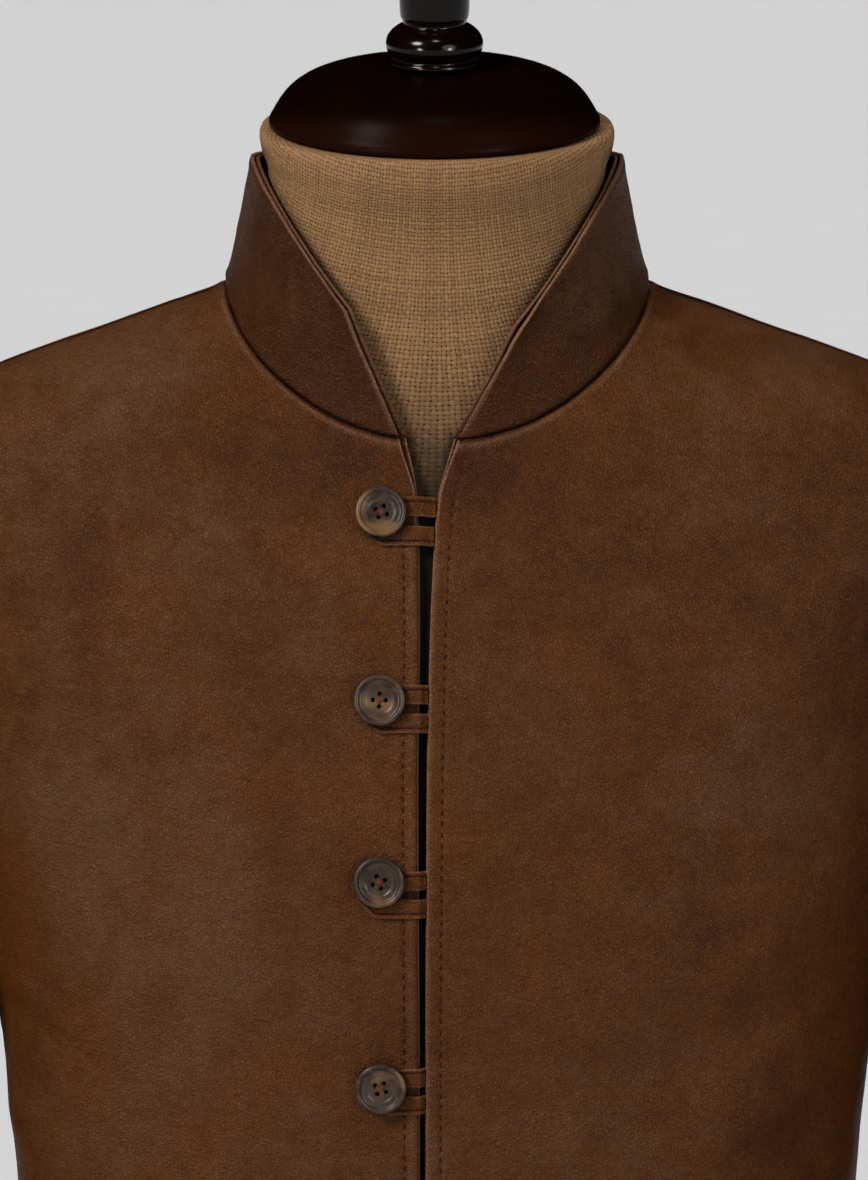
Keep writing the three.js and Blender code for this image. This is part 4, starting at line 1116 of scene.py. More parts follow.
def sleeve_control(k, angle, side):
    """One control ring of a sleeve, as on the left: 0 is the armhole seam."""
    turn = np.mod(angle, 360)
    if k == 0:
        found = np.empty(angle.shape + (3,))
        for face, chosen in ((-1, turn <= 180), (1, turn > 180)):
            share = np.where(chosen, turn if face < 0 else 360 - turn, 0) / 180
            x, drop = armhole(share, face)
            point, _ = on_body(side * x, drop, face)
            point[..., 0] *= side
            found[chosen] = point[chosen]
        return found
    head = k <= len(SLEEVE_HEAD)
    row = SLEEVE_HEAD[k - 1] if head else SLEEVE_ARM[k - 1 - len(SLEEVE_HEAD)]
    first, inner, outer, front, back = row
    radians = np.radians(angle)
    y = (back - front) / 2 - (back + front) / 2 * np.sin(radians)
    across = lerp(inner, outer, (1 - np.cos(radians)) / 2)
    if not head:
        return np.stack([across, y, np.full(angle.shape, NECK_Z - first)], -1)
    swing = math.radians(first)
    x = SLEEVE_HINGE_X + across * math.sin(swing)
    z = NECK_Z - SLEEVE_HINGE_DROP + across * math.cos(swing)
    return np.stack([x, y, z], -1)


def spline_share(p0, p1, p2, p3, t):
    """Centripetal Catmull-Rom between p1 and p2."""
    gaps = [np.maximum(np.linalg.norm(b - a, axis=-1), 1e-4) ** 0.5
            for a, b in ((p0, p1), (p1, p2), (p2, p3))]
    d0, d1, d2 = (gap[..., None] for gap in gaps)
    lean1 = ((p1 - p0) / d0 - (p2 - p0) / (d0 + d1) + (p2 - p1) / d1) * d1
    lean2 = ((p2 - p1) / d1 - (p3 - p1) / (d1 + d2) + (p3 - p2) / d2) * d1
    t = t[..., None]
    return ((2 * t**3 - 3 * t**2 + 1) * p1 + (t**3 - 2 * t**2 + t) * lean1
            + (3 * t**2 - 2 * t**3) * p2 + (t**3 - t**2) * lean2)


def sleeve_point(angle, row, side):
    """Points of the plain sleeve, as on the left: row 0 is the armhole, SLEEVE_ROWS the cuff."""
    row = np.clip(row, 0, SLEEVE_ROWS)
    first = np.minimum(np.floor(row).astype(int), SLEEVE_ROWS - 1)
    rings = np.stack([sleeve_control(k, angle, side) for k in range(SLEEVE_ROWS + 1)])
    pick = np.arange(len(angle))

    def ring(k):
        return rings[k, pick]

    p1, p2 = ring(first), ring(first + 1)
    before = np.where((first > 0)[:, None], ring(np.maximum(first - 1, 0)), 2 * p1 - p2)
    inside = (first < SLEEVE_ROWS - 1)[:, None]
    after = np.where(inside, ring(np.minimum(first + 2, SLEEVE_ROWS)), 2 * p2 - p1)
    return spline_share(before, p1, p2, after, row - first)


def sleeve_seams(part):
    """The two angles that a sleeve piece's own cloth ends at."""
    low, high, _ = SLEEVE_PARTS[part]
    return low + SLEEVE_GAP_ANGLE, high - SLEEVE_GAP_ANGLE


def sleeve_place(side, part):
    """Places the upper or the under piece of one sleeve."""
    seams = sleeve_seams(part)
    folds = [(where, a1 * SLEEVE_DEGREE, r1 * SLEEVE_ROW, a2 * SLEEVE_DEGREE, r2 * SLEEVE_ROW,
              width, stand) for where, a1, r1, a2, r2, width, stand in SLEEVE_FOLDS]

    def place(angle, row):
        step = 0.03
        at = np.maximum(SLEEVE_START * SLEEVE_ROWS, row)
        base = sleeve_point(angle, at, side)
        along = sleeve_point(angle, at + step, side) - sleeve_point(angle, at - step, side)
        around = sleeve_point(angle + 1, at, side) - sleeve_point(angle - 1, at, side)
        normal = np.cross(around, along)
        normal /= np.linalg.norm(normal, axis=-1, keepdims=True)
        turn = np.mod(angle, 360)
        across, down = turn * SLEEVE_DEGREE, row * SLEEVE_ROW
        away = np.minimum(np.abs(angle - seams[0]), np.abs(angle - seams[1])) * 0.8
        calm = smoothstep(at, 0.05, 1.6) * smoothstep(away, 0.0, 3.0)
        rise = calm * ridge_height(folds, side, across, down)
        rise += 0.5 * calm * unevenness(across, down, 31 + side, wave=70.0)
        rise += seam_roll(away, 0.7, 0.3, 3.0)
        head = at * SLEEVE_ROW
        fullness = bell(turn - 180, 80)
        rise += fullness * 0.9 * bell(head - 6, 4.5)
        rise += 0.35 * np.exp(-head / 14) * unevenness(across, 0.3 * down, 41, wave=11.0, octaves=1)
        rise -= 0.7 * bell(head, 1.5)
        cuff = (SLEEVE_ROWS - at) * SLEEVE_ROW_LENGTH
        turning = np.abs(cuff - CUFF_TURNING)
        rise += seam_roll(turning, 0.4, 0.2, 2.4)
        # painted shade in the seams and the cuff turning; the cuff edge is rubbed lighter and the
        # full sleeve head gets a painted highlight
        dark = seam_tone(away) + seam_tone(head, 2.0) + 0.5 * seam_tone(turning, 1.2)
        rub_and_highlight = 0.8 * bell(cuff, 1.5) + 0.25 * fullness * bell(head - 7, 5)
        patch = 0.7 * unevenness(across, down, 51 + side, wave=150.0, octaves=2)
        point = base + normal * rise[:, None]
        point[:, 0] *= side
        return point, tones(dark, rub_and_highlight, patch)

    return place


def sleeve_rows():
    """Rows of a sleeve piece, finer beside the armhole."""
    near = np.linspace(0, 1, 17)
    return np.concatenate([near, spaced(1, SLEEVE_ROWS, 0.062)[1:]])


# ---------------------------------------------------------------- collar


def collar_point(q, h, facing):
    """Points of the plain collar: q 0 is the right front end and 1 the left, h 0 the neck seam."""
    side = np.where(q < 0.5, -1.0, 1.0)
    away = np.where(q < 0.5, q, 1 - q) * 4
    front = away <= 1
    low = np.empty(q.shape + (3,))
    first = np.empty(q.shape)
    corner_turn, corner_rise = np.empty(q.shape), np.empty(q.shape)
    for which in (-1, 1):
        mine = side == which
        edge = which * np.abs(front_edge(np.array(NECK_FRONT_DROP), which, facing))
        first[mine] = neckline_turn(abs(edge))
        corner_turn[mine] = COLLAR_CORNER_TURN[which] - (COLLAR_FACING_PAST if facing else 0)
        corner_rise[mine] = COLLAR_CORNER_RISE[which]
    x, drop = neckline(lerp(first, 1, np.minimum(away, 1)), -1)
    low[front] = on_body(side * x, drop, -1)[0][front]
    x, drop = neckline(np.clip(2 - away, 0, 1), 1)
    low[~front] = on_body(side * x, drop, 1)[0][~front]
    low[..., 2] += COLLAR_LIFT

    turn = lerp(corner_turn, 90, np.minimum(away, 1) ** COLLAR_SPREAD)
    climb = ((90 - turn) / (90 - corner_turn)) ** COLLAR_CLIMB
    rise = COLLAR_SIDE_RISE - (COLLAR_SIDE_RISE - corner_rise) * climb
    rise = np.where(front, rise, lerp(COLLAR_SIDE_RISE, COLLAR_BACK_RISE, smoothstep(away, 1, 2)))
    turn = np.radians(np.where(front, turn, 90 * away))
    depth = np.where(front, COLLAR_FRONT, COLLAR_BACK)
    high = np.stack([side * COLLAR_HALF * np.sin(turn), COLLAR_CENTRE - depth * np.cos(turn),
                     NECK_Z + rise], -1)
    return lerp(low, high, h[..., None])


def collar_place(facing):
    """Places the outer ply of the collar, or its inner one, the facing."""

    def place(q, h):
        step = 0.004
        q = np.where(h < 0, np.clip(q, COLLAR_END_CLEAR, 1 - COLLAR_END_CLEAR), q)
        base = collar_point(q, h, facing)
        around = (collar_point(np.minimum(1, q + step), h, facing)
                  - collar_point(np.maximum(0, q - step), h, facing))
        up = collar_point(q, h * 0 + 1, facing) - collar_point(q, h * 0, facing)
        normal = np.cross(up, around)
        normal /= np.linalg.norm(normal, axis=-1, keepdims=True)
        tall = np.linalg.norm(up, axis=-1)
        foot, along = h * tall, q * COLLAR_SEAM_RUN
        above = np.maximum(foot, 0)
        end = np.minimum(q, 1 - q) * COLLAR_SEAM_RUN
        edge = np.minimum((1 - h) * tall, end)
        if facing:
            rise = np.full(q.shape, -(PLY + PLY_GAP))
            # painted shade on the facing between the plies, all but its edge
            dark = smoothstep(edge, 0.35, 0.9)
        else:
            rise = seam_roll(above, 0.35, 0.25, 2.6) + 0.6 * bell(above, 8)
            rise -= COLLAR_TURNED_UNDER * smoothstep(-foot, 0, 0.8 * COLLAR_TURNED_UNDER)
            rise += 0.35 * np.exp(-above / 9) * unevenness(along, above, 61, wave=14.0, octaves=1)
            rise += 0.4 * unevenness(along, above, 67, wave=55.0)
            rise += 0.35 * bell(edge - 3, 2.2)
            # painted shade in the seam and on the part turned under
            dark = np.maximum(0.95 * seam_tone(above, 0.7), foot < 0)
        quiet = 1 - 0.6 * np.exp(-above / 22)
        rub_and_highlight = (0.6 if facing else 0.9) * quiet * bell(edge, 0.55) * (foot > 1)
        patch = 0.4 * unevenness(along, foot, 71, wave=90.0, octaves=2)
        # painted light high on the collar's left front, which is turned away from the key light,
        # and painted shade low on its right front
        patch = patch + 1.3 * bell(q - 0.87, 0.07) * smoothstep(h, 0.1, 0.55)
        patch = patch - 0.5 * bell(q - 0.07, 0.06) * (1 - smoothstep(h, 0.1, 0.6))
        warm = np.clip(0.8 * np.exp(-above / 18) + 0.6 * np.exp(-end / 16), 0, 1)
        return base + normal * rise[:, None], tones(dark, rub_and_highlight, patch, warm)

    return place


# ---------------------------------------------------------------- closure


def cloth_frame(x, drop):
    """Matrix on the right front, in mm: across, up and out of the cloth."""
    point, normal = on_body(np.array([x]), np.array([drop]), -1)
    out = Vector(normal[0])
    across = (Vector((1, 0, 0)) - out * out.x).normalized()
    up = out.cross(across)
    matrix = Matrix((across, up, out)).transposed().to_4x4()
    matrix.translation = Vector(point[0])
    return matrix


def lay_on_front(bm, x, drop):
    """Takes a shape made round the origin, in mm, to its place on the right front, in metres."""
    matrix = Matrix.Scale(MM, 4) @ cloth_frame(x, drop)
    bmesh.ops.transform(bm, matrix=matrix, verts=bm.verts)


def hole_spots(turn):
    """Middles of a button's four holes, as it is turned on the cloth."""
    angles = [math.radians(turn + 45 + 90 * k) for k in range(4)]
    return [(HOLE_OFFSET * math.cos(angle), HOLE_OFFSET * math.sin(angle)) for angle in angles]


def spun(bm, profile, steps):
    """Spins a profile of (r, h) round Z into a closed turned shape."""
    verts = [bm.verts.new((r, 0, h)) for r, h in profile]
    edges = [bm.edges.new(pair) for pair in zip(verts, verts[1:])]
    bmesh.ops.spin(bm, geom=verts + edges, cent=(0, 0, 0), axis=(0, 0, 1), dvec=(0, 0, 0),
                   angle=2 * math.pi, steps=steps, use_merge=True, use_duplicate=False)
    bmesh.ops.remove_doubles(bm, verts=bm.verts, dist=1e-5)
    bmesh.ops.recalc_face_normals(bm, faces=bm.faces)


def rounded(profile, times=2):
    """Corner-cuts a profile so that it turns smoothly, keeping its two ends."""
    for _ in range(times):
        cut = [profile[0]]
        for (r0, h0), (r1, h1) in zip(profile, profile[1:]):
            cut += [(lerp(r0, r1, 0.25), lerp(h0, h1, 0.25)),
                    (lerp(r0, r1, 0.75), lerp(h0, h1, 0.75))]
        profile = cut + [profile[-1]]
    return profile


def button_mesh(drop, x):
    """A dished horn button with a raised rim, a ring round its middle and four holes."""
    bm = bmesh.new()
    back, face = BUTTON_BACK, BUTTON_BACK + BUTTON_THICK
    profile = [
        (0, back), (6.4, back), (8.6, back + 0.5), (9.8, back + 1.6), (10.0, face - 1.1),
        (9.8, face - 0.4), (9.35, face - 0.05), (8.8, face), (8.3, face - 0.15), (7.9, face - 0.7),
        (7.5, face - 1.05), (6.9, face - 1.1), (5.9, face - 1.0), (5.5, face - 1.05),
        (5.1, face - 1.35), (4.7, face - 1.4), (3.0, face - 1.45), (0, face - 1.5),
    ]
    spun(bm, rounded(profile, 1), 56)
    lay_on_front(bm, x, drop)
    return bm


def hole_cutter(x, drop, turn):
    """Four small rods through the button, to be cut away from it."""
    bm = bmesh.new()
    for across, up in hole_spots(turn):
        at = Matrix.Translation((across, up, BUTTON_BACK + BUTTON_THICK / 2))
        bmesh.ops.create_cone(bm, cap_ends=True, segments=16, radius1=HOLE_RADIUS,
                              radius2=HOLE_RADIUS, depth=3 * BUTTON_THICK, matrix=at)
    lay_on_front(bm, x, drop)
    return mesh_object(bm, "holes")


def cut_away(piece, cutter):
    """Cuts one object from another for good and removes the cutter."""
    cut = piece.modifiers.new("holes", "BOOLEAN")
    cut.operation = "DIFFERENCE"
    cut.solver = "EXACT"
    cut.object = cutter
    bpy.context.view_layer.update()
    graph = bpy.context.evaluated_depsgraph_get()
    mesh = bpy.data.meshes.new_from_object(piece.evaluated_get(graph))
    piece.modifiers.clear()
    old = piece.data
    piece.data = mesh
    mesh.name = piece.name
    bpy.data.meshes.remove(old)
    bpy.data.objects.remove(cutter, do_unlink=True)


def thread_rod(bm, start, end, radius):
    """A round-ended bit of thread between two points."""
    start, end = Vector(start), Vector(end)
    along = end - start
    turn = along.to_track_quat("Z", "Y").to_matrix().to_4x4()
    stretch = Matrix.Diagonal((radius, radius, along.length / 2, 1))
    matrix = Matrix.Translation((start + end) / 2) @ turn @ stretch
    bmesh.ops.create_uvsphere(bm, u_segments=6, v_segments=5, radius=1, matrix=matrix)


def stem_mesh(x, drop, below, turn):
    """Thread crossed over the button's face, through its holes, and the stem under it."""
    bm = bmesh.new()
    face = BUTTON_BACK + BUTTON_THICK - 1.45
    spots = hole_spots(turn)
    for first, last, lift in ((0, 2, 0.1), (1, 3, 0.3)):
        for shift in (-0.22, 0.22):
            (ax, ay), (bx, by) = (Vector(spots[k]) * 0.66 for k in (first, last))
            away = Vector((by - ay, ax - bx)).normalized() * shift
            thread_rod(bm, (ax + away.x, ay + away.y, face + lift),
                       (bx + away.x, by + away.y, face + lift), 0.22)
    for ax, ay in spots:
        thread_rod(bm, (0.8 * ax, 0.8 * ay, BUTTON_BACK - 0.4),
                   (0.62 * ax, 0.62 * ay, face + 0.1), 0.3)
    for ax, ay in spots:
        thread_rod(bm, (0.35 * ax, 0.35 * ay - below, 0.1),
                   (0.5 * ax, 0.5 * ay, BUTTON_BACK + 0.2), 0.55)
    lay_on_front(bm, x, drop)
    return bm


def loop_route(button):
    """A loop's route: x, turn, lift, width and how far it is drawn in, and its level."""
    drop, x, below, _, turn_width = button
    middle = drop + below

    def leg(turn):
        level = middle - math.sin(math.radians(turn)) * (LOOP_INSIDE + LOOP_WIDTH / 2)
        left = FRONT_EDGES.at(level + LOOP_WIDTH / 2)["left"] - 0.4
        right = FRONT_EDGES.at(level)["right"] + SEAM_GAP
        points = []
        for share in np.linspace(0, 1, 14):
            lift = lerp(0.1 - LEATHER, LOOP_LIFT, float(smoothstep(share, 0, 0.95)))
            points.append((lerp(left, right, share), turn, lift, LOOP_WIDTH, 1.0))
        for past in np.linspace(0, x - right, 16)[1:-1]:
            points.append((right + past, turn, LOOP_LIFT, LOOP_WIDTH, 1.0))
        return points

    route = leg(90)
    for turn in np.linspace(90, 270, 25):
        aside = math.radians(turn - 90)
        width = lerp(LOOP_WIDTH, turn_width, math.sin(aside))
        route.append((x, turn, LOOP_LIFT, width, 1 - LOOP_DRAW_IN * math.sin(2 * aside) ** 2))
    route += leg(270)[::-1]
    return np.array(route), middle


def loop_place(button):
    """A flat folded strap laid round the button: its rounded edges and its sewn groove, with
    painted shade in the groove and the button's painted shadow on it.
    """
    route, middle = loop_route(button)
    drop, x = button[:2]

    def place(share, k):
        x_axis, turn, lift, width, draw = route[k.astype(int)].T
        turn = np.radians(turn)
        reach = draw * (LOOP_INSIDE + share * width)
        px = x_axis + reach * np.cos(turn)
        away = reach * np.sin(turn)
        bulge = 0.4 * (1 - np.abs(2 * share - 1) ** 5)
        fold = 0.25 * bell(share - 0.9, 0.06)
        groove = 0.5 * bell(share - LOOP_GROOVE, 0.055)
        rise = lift + LOOP_THICK - 0.3 + bulge + fold - groove
        point, _ = on_body(px, middle - away, -1, rise)
        rub_and_highlight = bell(share, 0.07) + bell(1 - share, 0.09)
        # painted shadow of the button on the loop; the groove gets painted shade and the rounded
        # edges painted highlights
        under = bell(np.maximum(0, np.hypot(px - x, away - middle + drop) - 9.6), 1.6)
        dark = 0.85 * bell(share - LOOP_GROOVE, 0.05) + 0.75 * under
        patch = 0.5 * unevenness(x_axis * 3, share * width, int(drop), wave=30.0, octaves=1)
        return point, tones(dark, rub_and_highlight * (1 - under), patch)

    return route, place


# ---------------------------------------------------------------- stitching


def loop_stitches(route, place):
    """The short stitches in a loop's groove, in mm."""
    bm = bmesh.new()
    keep = np.arange(3.0, len(route) - 3)
    points, _ = place(np.full(len(keep), LOOP_GROOVE), keep)
    normals = on_body(points[:, 0], NECK_Z - points[:, 2], -1)[1]
    stitch_row(bm, points, normals, 3.2, 2.2, 0.24, -0.02)
    return bm


def stitch_row(bm, points, normals, pitch, length, radius, sunk):
    """Thread stitches end to end along a line of points, each dipping into its holes."""
    gaps = np.linalg.norm(np.diff(points, axis=0), axis=1)
    run = np.concatenate([[0], np.cumsum(gaps)])
    count = int(run[-1] // pitch)
    for k in range(count):
        middle = (k + 0.5) * pitch
        start, end = (np.array([np.interp(place, run, points[:, axis]) for axis in range(3)])
                      for place in (middle - length / 2, middle + length / 2))
        out = np.array([np.interp(middle, run, normals[:, axis]) for axis in range(3)])
        lift = out * (radius * 0.4 - sunk)
        thread_rod(bm, start + lift, end + lift, radius)


def finish_sewing(bm, name, thread):
    """Turns rows of stitches made in mm into a piece."""
    bmesh.ops.scale(bm, vec=(MM, MM, MM), verts=bm.verts)
    finish_mesh(bm, name, thread)


# ---------------------------------------------------------------- the form and its stand


def level_reach(half, front, back, square, centre, angle):
    """Distance from (0, centre) to the edge of a level section, along a direction."""
    low, high = np.zeros(angle.shape), np.full(angle.shape, 400.0)
    for _ in range(44):
        middle = (low + high) / 2
        x, y = middle * np.sin(angle), centre - middle * np.cos(angle)
        depth = np.where(y < 0, front, back)
        inside = np.abs(x / half) ** square + np.abs(y / depth) ** square < 1
        low, high = np.where(inside, middle, low), np.where(inside, high, middle)
    return low


def form_place(angle, drop):
    """Points of the burlap cover at an angle round the form and a drop."""
    neck = FORM_NECK.at(-drop)
    torso = BODY.at(np.maximum(NECK_POINT_DROP, drop - SHOULDER_BELOW))
    centre = neck["centre"] * smoothstep(-drop, -NECK_ROOT, 0)
    torso_reach = level_reach(torso["half"] - FORM_CLEARANCE, torso["front"] - FORM_CLEARANCE,
                              torso["back"] - FORM_CLEARANCE, torso["square"], centre, angle)
    depth = neck["depth"]
    neck_reach = level_reach(neck["half"], depth, depth, NECK_SQUARE,
                             centre - neck["centre"], angle)
    torso_reach = np.where(drop >= NECK_POINT_DROP + SHOULDER_BELOW, torso_reach, 0)
    neck_reach = np.where(drop < NECK_ROOT, neck_reach, 0)
    most = np.maximum(torso_reach, neck_reach)
    shares = (torso_reach / most) ** BLEND_POWER + (neck_reach / most) ** BLEND_POWER
    reach = most * shares ** (1 / BLEND_POWER)
    y = centre - reach * np.cos(angle)
    lean = np.tan(np.radians(neck["lean"])) * (y - neck["centre"])
    return np.stack([reach * np.sin(angle), y, NECK_Z - drop + lean], -1)


def painted_cover_shade(points):
    """How much painted shade the cover gets beside the collar and front edges and below them, 0 to
    1.
    """
    top = collar_point(spaced(0, 1, 1 / 300), np.ones(301), True)
    drop = spaced(NECK_FRONT_DROP, UNDERLAP_TOP + 10, 2)
    edges = [on_body(side * front_edge(drop, side, True), drop, -1)[0] for side in (-1, 1)]
    rim = np.concatenate([top[top[:, 1] < 10], *edges])
    shade = np.zeros(len(points))
    near = (points[:, 2] > NECK_Z - 160) & (points[:, 1] < 60)
    for start in range(0, len(points), 4000):
        part = slice(start, start + 4000)
        gap = points[part, None, :] - rim[None]
        away = np.hypot(gap[..., 0], gap[..., 2]).min(1)
        shade[part] = np.exp(-((away / 4.2) ** 1.3))
    # painted shade that grows lower down the neck and is deepest at the bottom of the opening
    shade = np.maximum(shade, np.interp(NECK_Z - points[:, 2], [-52, -12, 30, 46, 56, 74],
                                        [0.2, 0.24, 0.32, 0.47, 0.7, 0.88]))
    return np.where(near, shade, 0)


def burlap_cover():
    """The form's cover, one closed skin with a flat map in metres for its weave."""
    low = [(FORM_END_DROP, 0.9), (FORM_END_DROP, 0.955), (698, 0.975), (694, 0.99), (688, 0.997)]
    body = [(drop, 1.0) for drop in np.concatenate([spaced(680, 80, 12), spaced(78, -60, 2.0)])]
    top = [(-62.4, 0.999), (-64.2, 0.994), (-65.4, 0.984), (-65.9, 0.97), (-66, 0.95), (-66, 0.92),
           (-66, 0.88)]
    drops, draws = np.array(low + body + top).T
    around = 240
    bm, i, j = grid(around, len(drops) - 1)
    drop, draw = drops[j], draws[j]
    angle = 2 * math.pi * i / around - math.pi
    points = form_place(angle, drop)
    neck = FORM_NECK.at(-drop)
    centre = neck["centre"] * (drop < 0)
    drawn_in = (points[:, 1] - centre) * (draw - 1)
    points[:, 0] *= draw
    points[:, 1] += drawn_in
    points[:, 2] += np.tan(np.radians(neck["lean"])) * drawn_in * (drop < 0)
    run = np.concatenate([[0], np.cumsum(np.hypot(np.diff(drops), 66 * np.diff(draws)))])
    height = (run - np.interp(0, -drops, run))[j]
    # the cloth is pulled up and inwards round the neck, so its yarns lean and its rows bow
    flat_map = bm.loops.layers.uv.new("weave")
    lean = WEAVE_LEAN * np.sin(angle) * np.clip(height, -90, 90)
    bow = WEAVE_BOW * (1 - np.cos(angle))
    spots = np.stack([WEAVE_RADIUS * angle + lean, height - bow], -1) * MM
    for index, (vert, point) in enumerate(zip(bm.verts, points * MM)):
        vert.co = point
        for loop in vert.link_loops:
            loop[flat_map].uv = spots[index]
    # the tone's first channel holds the cover's painted shade
    shade_layer = bm.verts.layers.float_color.new("tone")
    for vert, shade in zip(bm.verts, painted_cover_shade(points)):
        vert[shade_layer] = (shade, 0, 0.5, 1)
    bmesh.ops.remove_doubles(bm, verts=bm.verts, dist=1e-6)
    rims = [edge for edge in bm.edges if edge.is_boundary]
    bmesh.ops.holes_fill(bm, edges=rims, sides=0)
    bmesh.ops.recalc_face_normals(bm, faces=bm.faces)
    return bm


def on_neck_axis():
    """Matrix, in mm, of the leaning axis that the cap and its finial stand on."""
    row = FORM_NECK.at(CAP_RISE)
    return (Matrix.Translation((CAP_ASIDE, float(row["centre"]), NECK_Z + CAP_RISE))
            @ Matrix.Rotation(math.radians(float(row["lean"])), 4, "X"))


def turned_piece(profile, steps, matrix, depth=1.0):
    """A turned shape with soft corners, depth being its front-to-back share of a round one."""
    bm = bmesh.new()
    spun(bm, rounded(profile), steps)
    shape = Matrix.Scale(MM, 4) @ matrix @ Matrix.Diagonal((1, depth, 1, 1))
    bmesh.ops.transform(bm, matrix=shape, verts=bm.verts)
    return bm


# ---------------------------------------------------------------- the add-on


def colour_prop(name, description, default):
    return bpy.props.FloatVectorProperty(
        name=name, description=description, default=default, size=4, min=0, max=1,
        subtype="COLOR")


class JacketSettings(bpy.types.PropertyGroup):
    """Sizes and colours that can be changed before the jacket is built."""

    leather_thickness: bpy.props.FloatProperty(
        name="Leather", description="Thickness of the body and sleeve leather",
        default=LEATHER * MM, min=0.001, max=0.003, unit="LENGTH")
    collar_thickness: bpy.props.FloatProperty(
        name="Collar ply", description="Thickness of each ply of the collar and of the facings",
        default=PLY * MM, min=0.0008, max=0.0025, unit="LENGTH")
    stitch_pitch: bpy.props.FloatProperty(
        name="Stitch pitch", description="Distance from one stitch to the next",
        default=4.3 * MM, min=0.002, max=0.01, unit="LENGTH")
    stitch_length: bpy.props.FloatProperty(
        name="Stitch length", description="Length of thread that shows in each stitch",
        default=2.2 * MM, min=0.001, max=0.008, unit="LENGTH")
    leather_mid: colour_prop("Leather", "Middle tone of the hide", rgb(79, 43, 13))
    # the worn grey also paints sheen and highlights where the patches are above 0
    leather_grey: colour_prop("Leather, worn", "Greyer tone where the hide is worn",
                              rgb(92, 60, 37))
    leather_orange: colour_prop("Leather, warm", "Warm tone that shows through the finish",
                                rgb(99, 53, 13))
    # the rubbed tone also paints highlights on ridges, folded edges and the sleeve heads
    leather_edge: colour_prop("Leather, rubbed", "Light tone of rubbed edges", rgb(138, 98, 72))
    # the dark tone paints shade in seams, grooves, folds, gaps and round the buttons
    leather_dark: colour_prop("Leather, dark", "Tone in seams and deep folds", rgb(40, 14, 4))
    thread: colour_prop("Thread", "Colour of the seam thread", rgb(54, 20, 6))
    button_thread: colour_prop("Button thread", "Colour of the thread on the buttons",
                               rgb(122, 64, 40))


def leather(settings, name="antiqued leather", collar=False, strap=False):
    """The hide in the settings' colours; the collar is darker and the straps more orange."""
    known = bpy.data.materials.get(name)
    if known:
        return known
    mid, grey, orange, dark, edge = (
        tuple(getattr(settings, "leather_" + tone))
        for tone in ("mid", "grey", "orange", "dark", "edge"))
    if collar:
        mid, grey, orange = tinted(mid, 0.56), tinted(grey, 0.85), tinted(orange, 0.7)
    if strap:
        mid = tinted(between(mid, orange, 0.6), 0.9)
        grey, orange = tinted(grey, 0.7), tinted(orange, 0.85)
        edge = between(edge, orange, 0.6)
    return leather_paint(name, mid, grey, orange, dark, edge)


class JACKET_OT_fronts(bpy.types.Operator):
    """Makes both fronts, their facings and the underlap"""

    bl_idname = "jacket.fronts"
    bl_label = "Fronts"

    def execute(self, context):
        settings = context.scene.jacket
        wall, ply = settings.leather_thickness / MM, settings.collar_thickness / MM
        hide = leather(settings)
        columns, facing_columns = spread_columns(15, 0.0016, 0.0135), spread_columns(8, 0.01, 0.06)
        rows = panel_rows()
        for side, word in SIDE_WORD.items():
            front = cloth(f"front_{word}_leather", columns, rows, front_place(side), wall, hide,
                          [f"front_{word}"])
            facing = cloth(f"facing_{word}_leather", facing_columns, rows, facing_place(side),
                           ply, hide, [f"facing_{word}"])
        underlap = cloth("underlap_cloth", np.linspace(0, 1, 14), rows, underlap_place, LINING,
                         lining_paint(), ["underlap"])
        return {"FINISHED"}


class JACKET_OT_back(bpy.types.Operator):
    """Makes the back, in one piece"""

    bl_idname = "jacket.back"
    bl_label = "Back"

    def execute(self, context):
        settings = context.scene.jacket
        half = np.linspace(0, 1, 70)
        columns = np.concatenate([-half[:0:-1], half])
        back = cloth("back_leather", columns, panel_rows(), back_place,
                     settings.leather_thickness / MM, leather(settings), ["back"])
        return {"FINISHED"}


class JACKET_OT_sleeves(bpy.types.Operator):
    """Makes the four sleeve pieces"""

    bl_idname = "jacket.sleeves"
    bl_label = "Sleeves"

    def execute(self, context):
        settings = context.scene.jacket
        wall, hide = settings.leather_thickness / MM, leather(settings)
        for side, word in SIDE_WORD.items():
            for part, (_, _, count) in SLEEVE_PARTS.items():
                columns = np.linspace(*sleeve_seams(part), count)
                piece = cloth(f"sleeve_{word}_{part}_leather", columns, sleeve_rows(),
                              sleeve_place(side, part), wall, hide,
                              [f"sleeve_{word}_{part}"])
        return {"FINISHED"}


class JACKET_OT_collar(bpy.types.Operator):
    """Makes the outer and the inner ply of the stand collar"""

    bl_idname = "jacket.collar"
    bl_label = "Collar"

    def execute(self, context):
        settings = context.scene.jacket
        hide = leather(settings, "antiqued collar leather", collar=True)
        columns, rows = spaced(0, 1, 1 / 220), np.linspace(0, 1, 40)
        under = -COLLAR_TURNED_UNDER / 75 * np.array([1, 0.66, 0.33])
        for name, node, facing in (("collar_leather", "collar", False),
                                   ("collar_facing_leather", "collar_facing", True)):
            piece = cloth(name, columns, rows if facing else np.concatenate([under, rows]),
                          collar_place(facing),
                          settings.collar_thickness / MM, hide, [node])
        return {"FINISHED"}


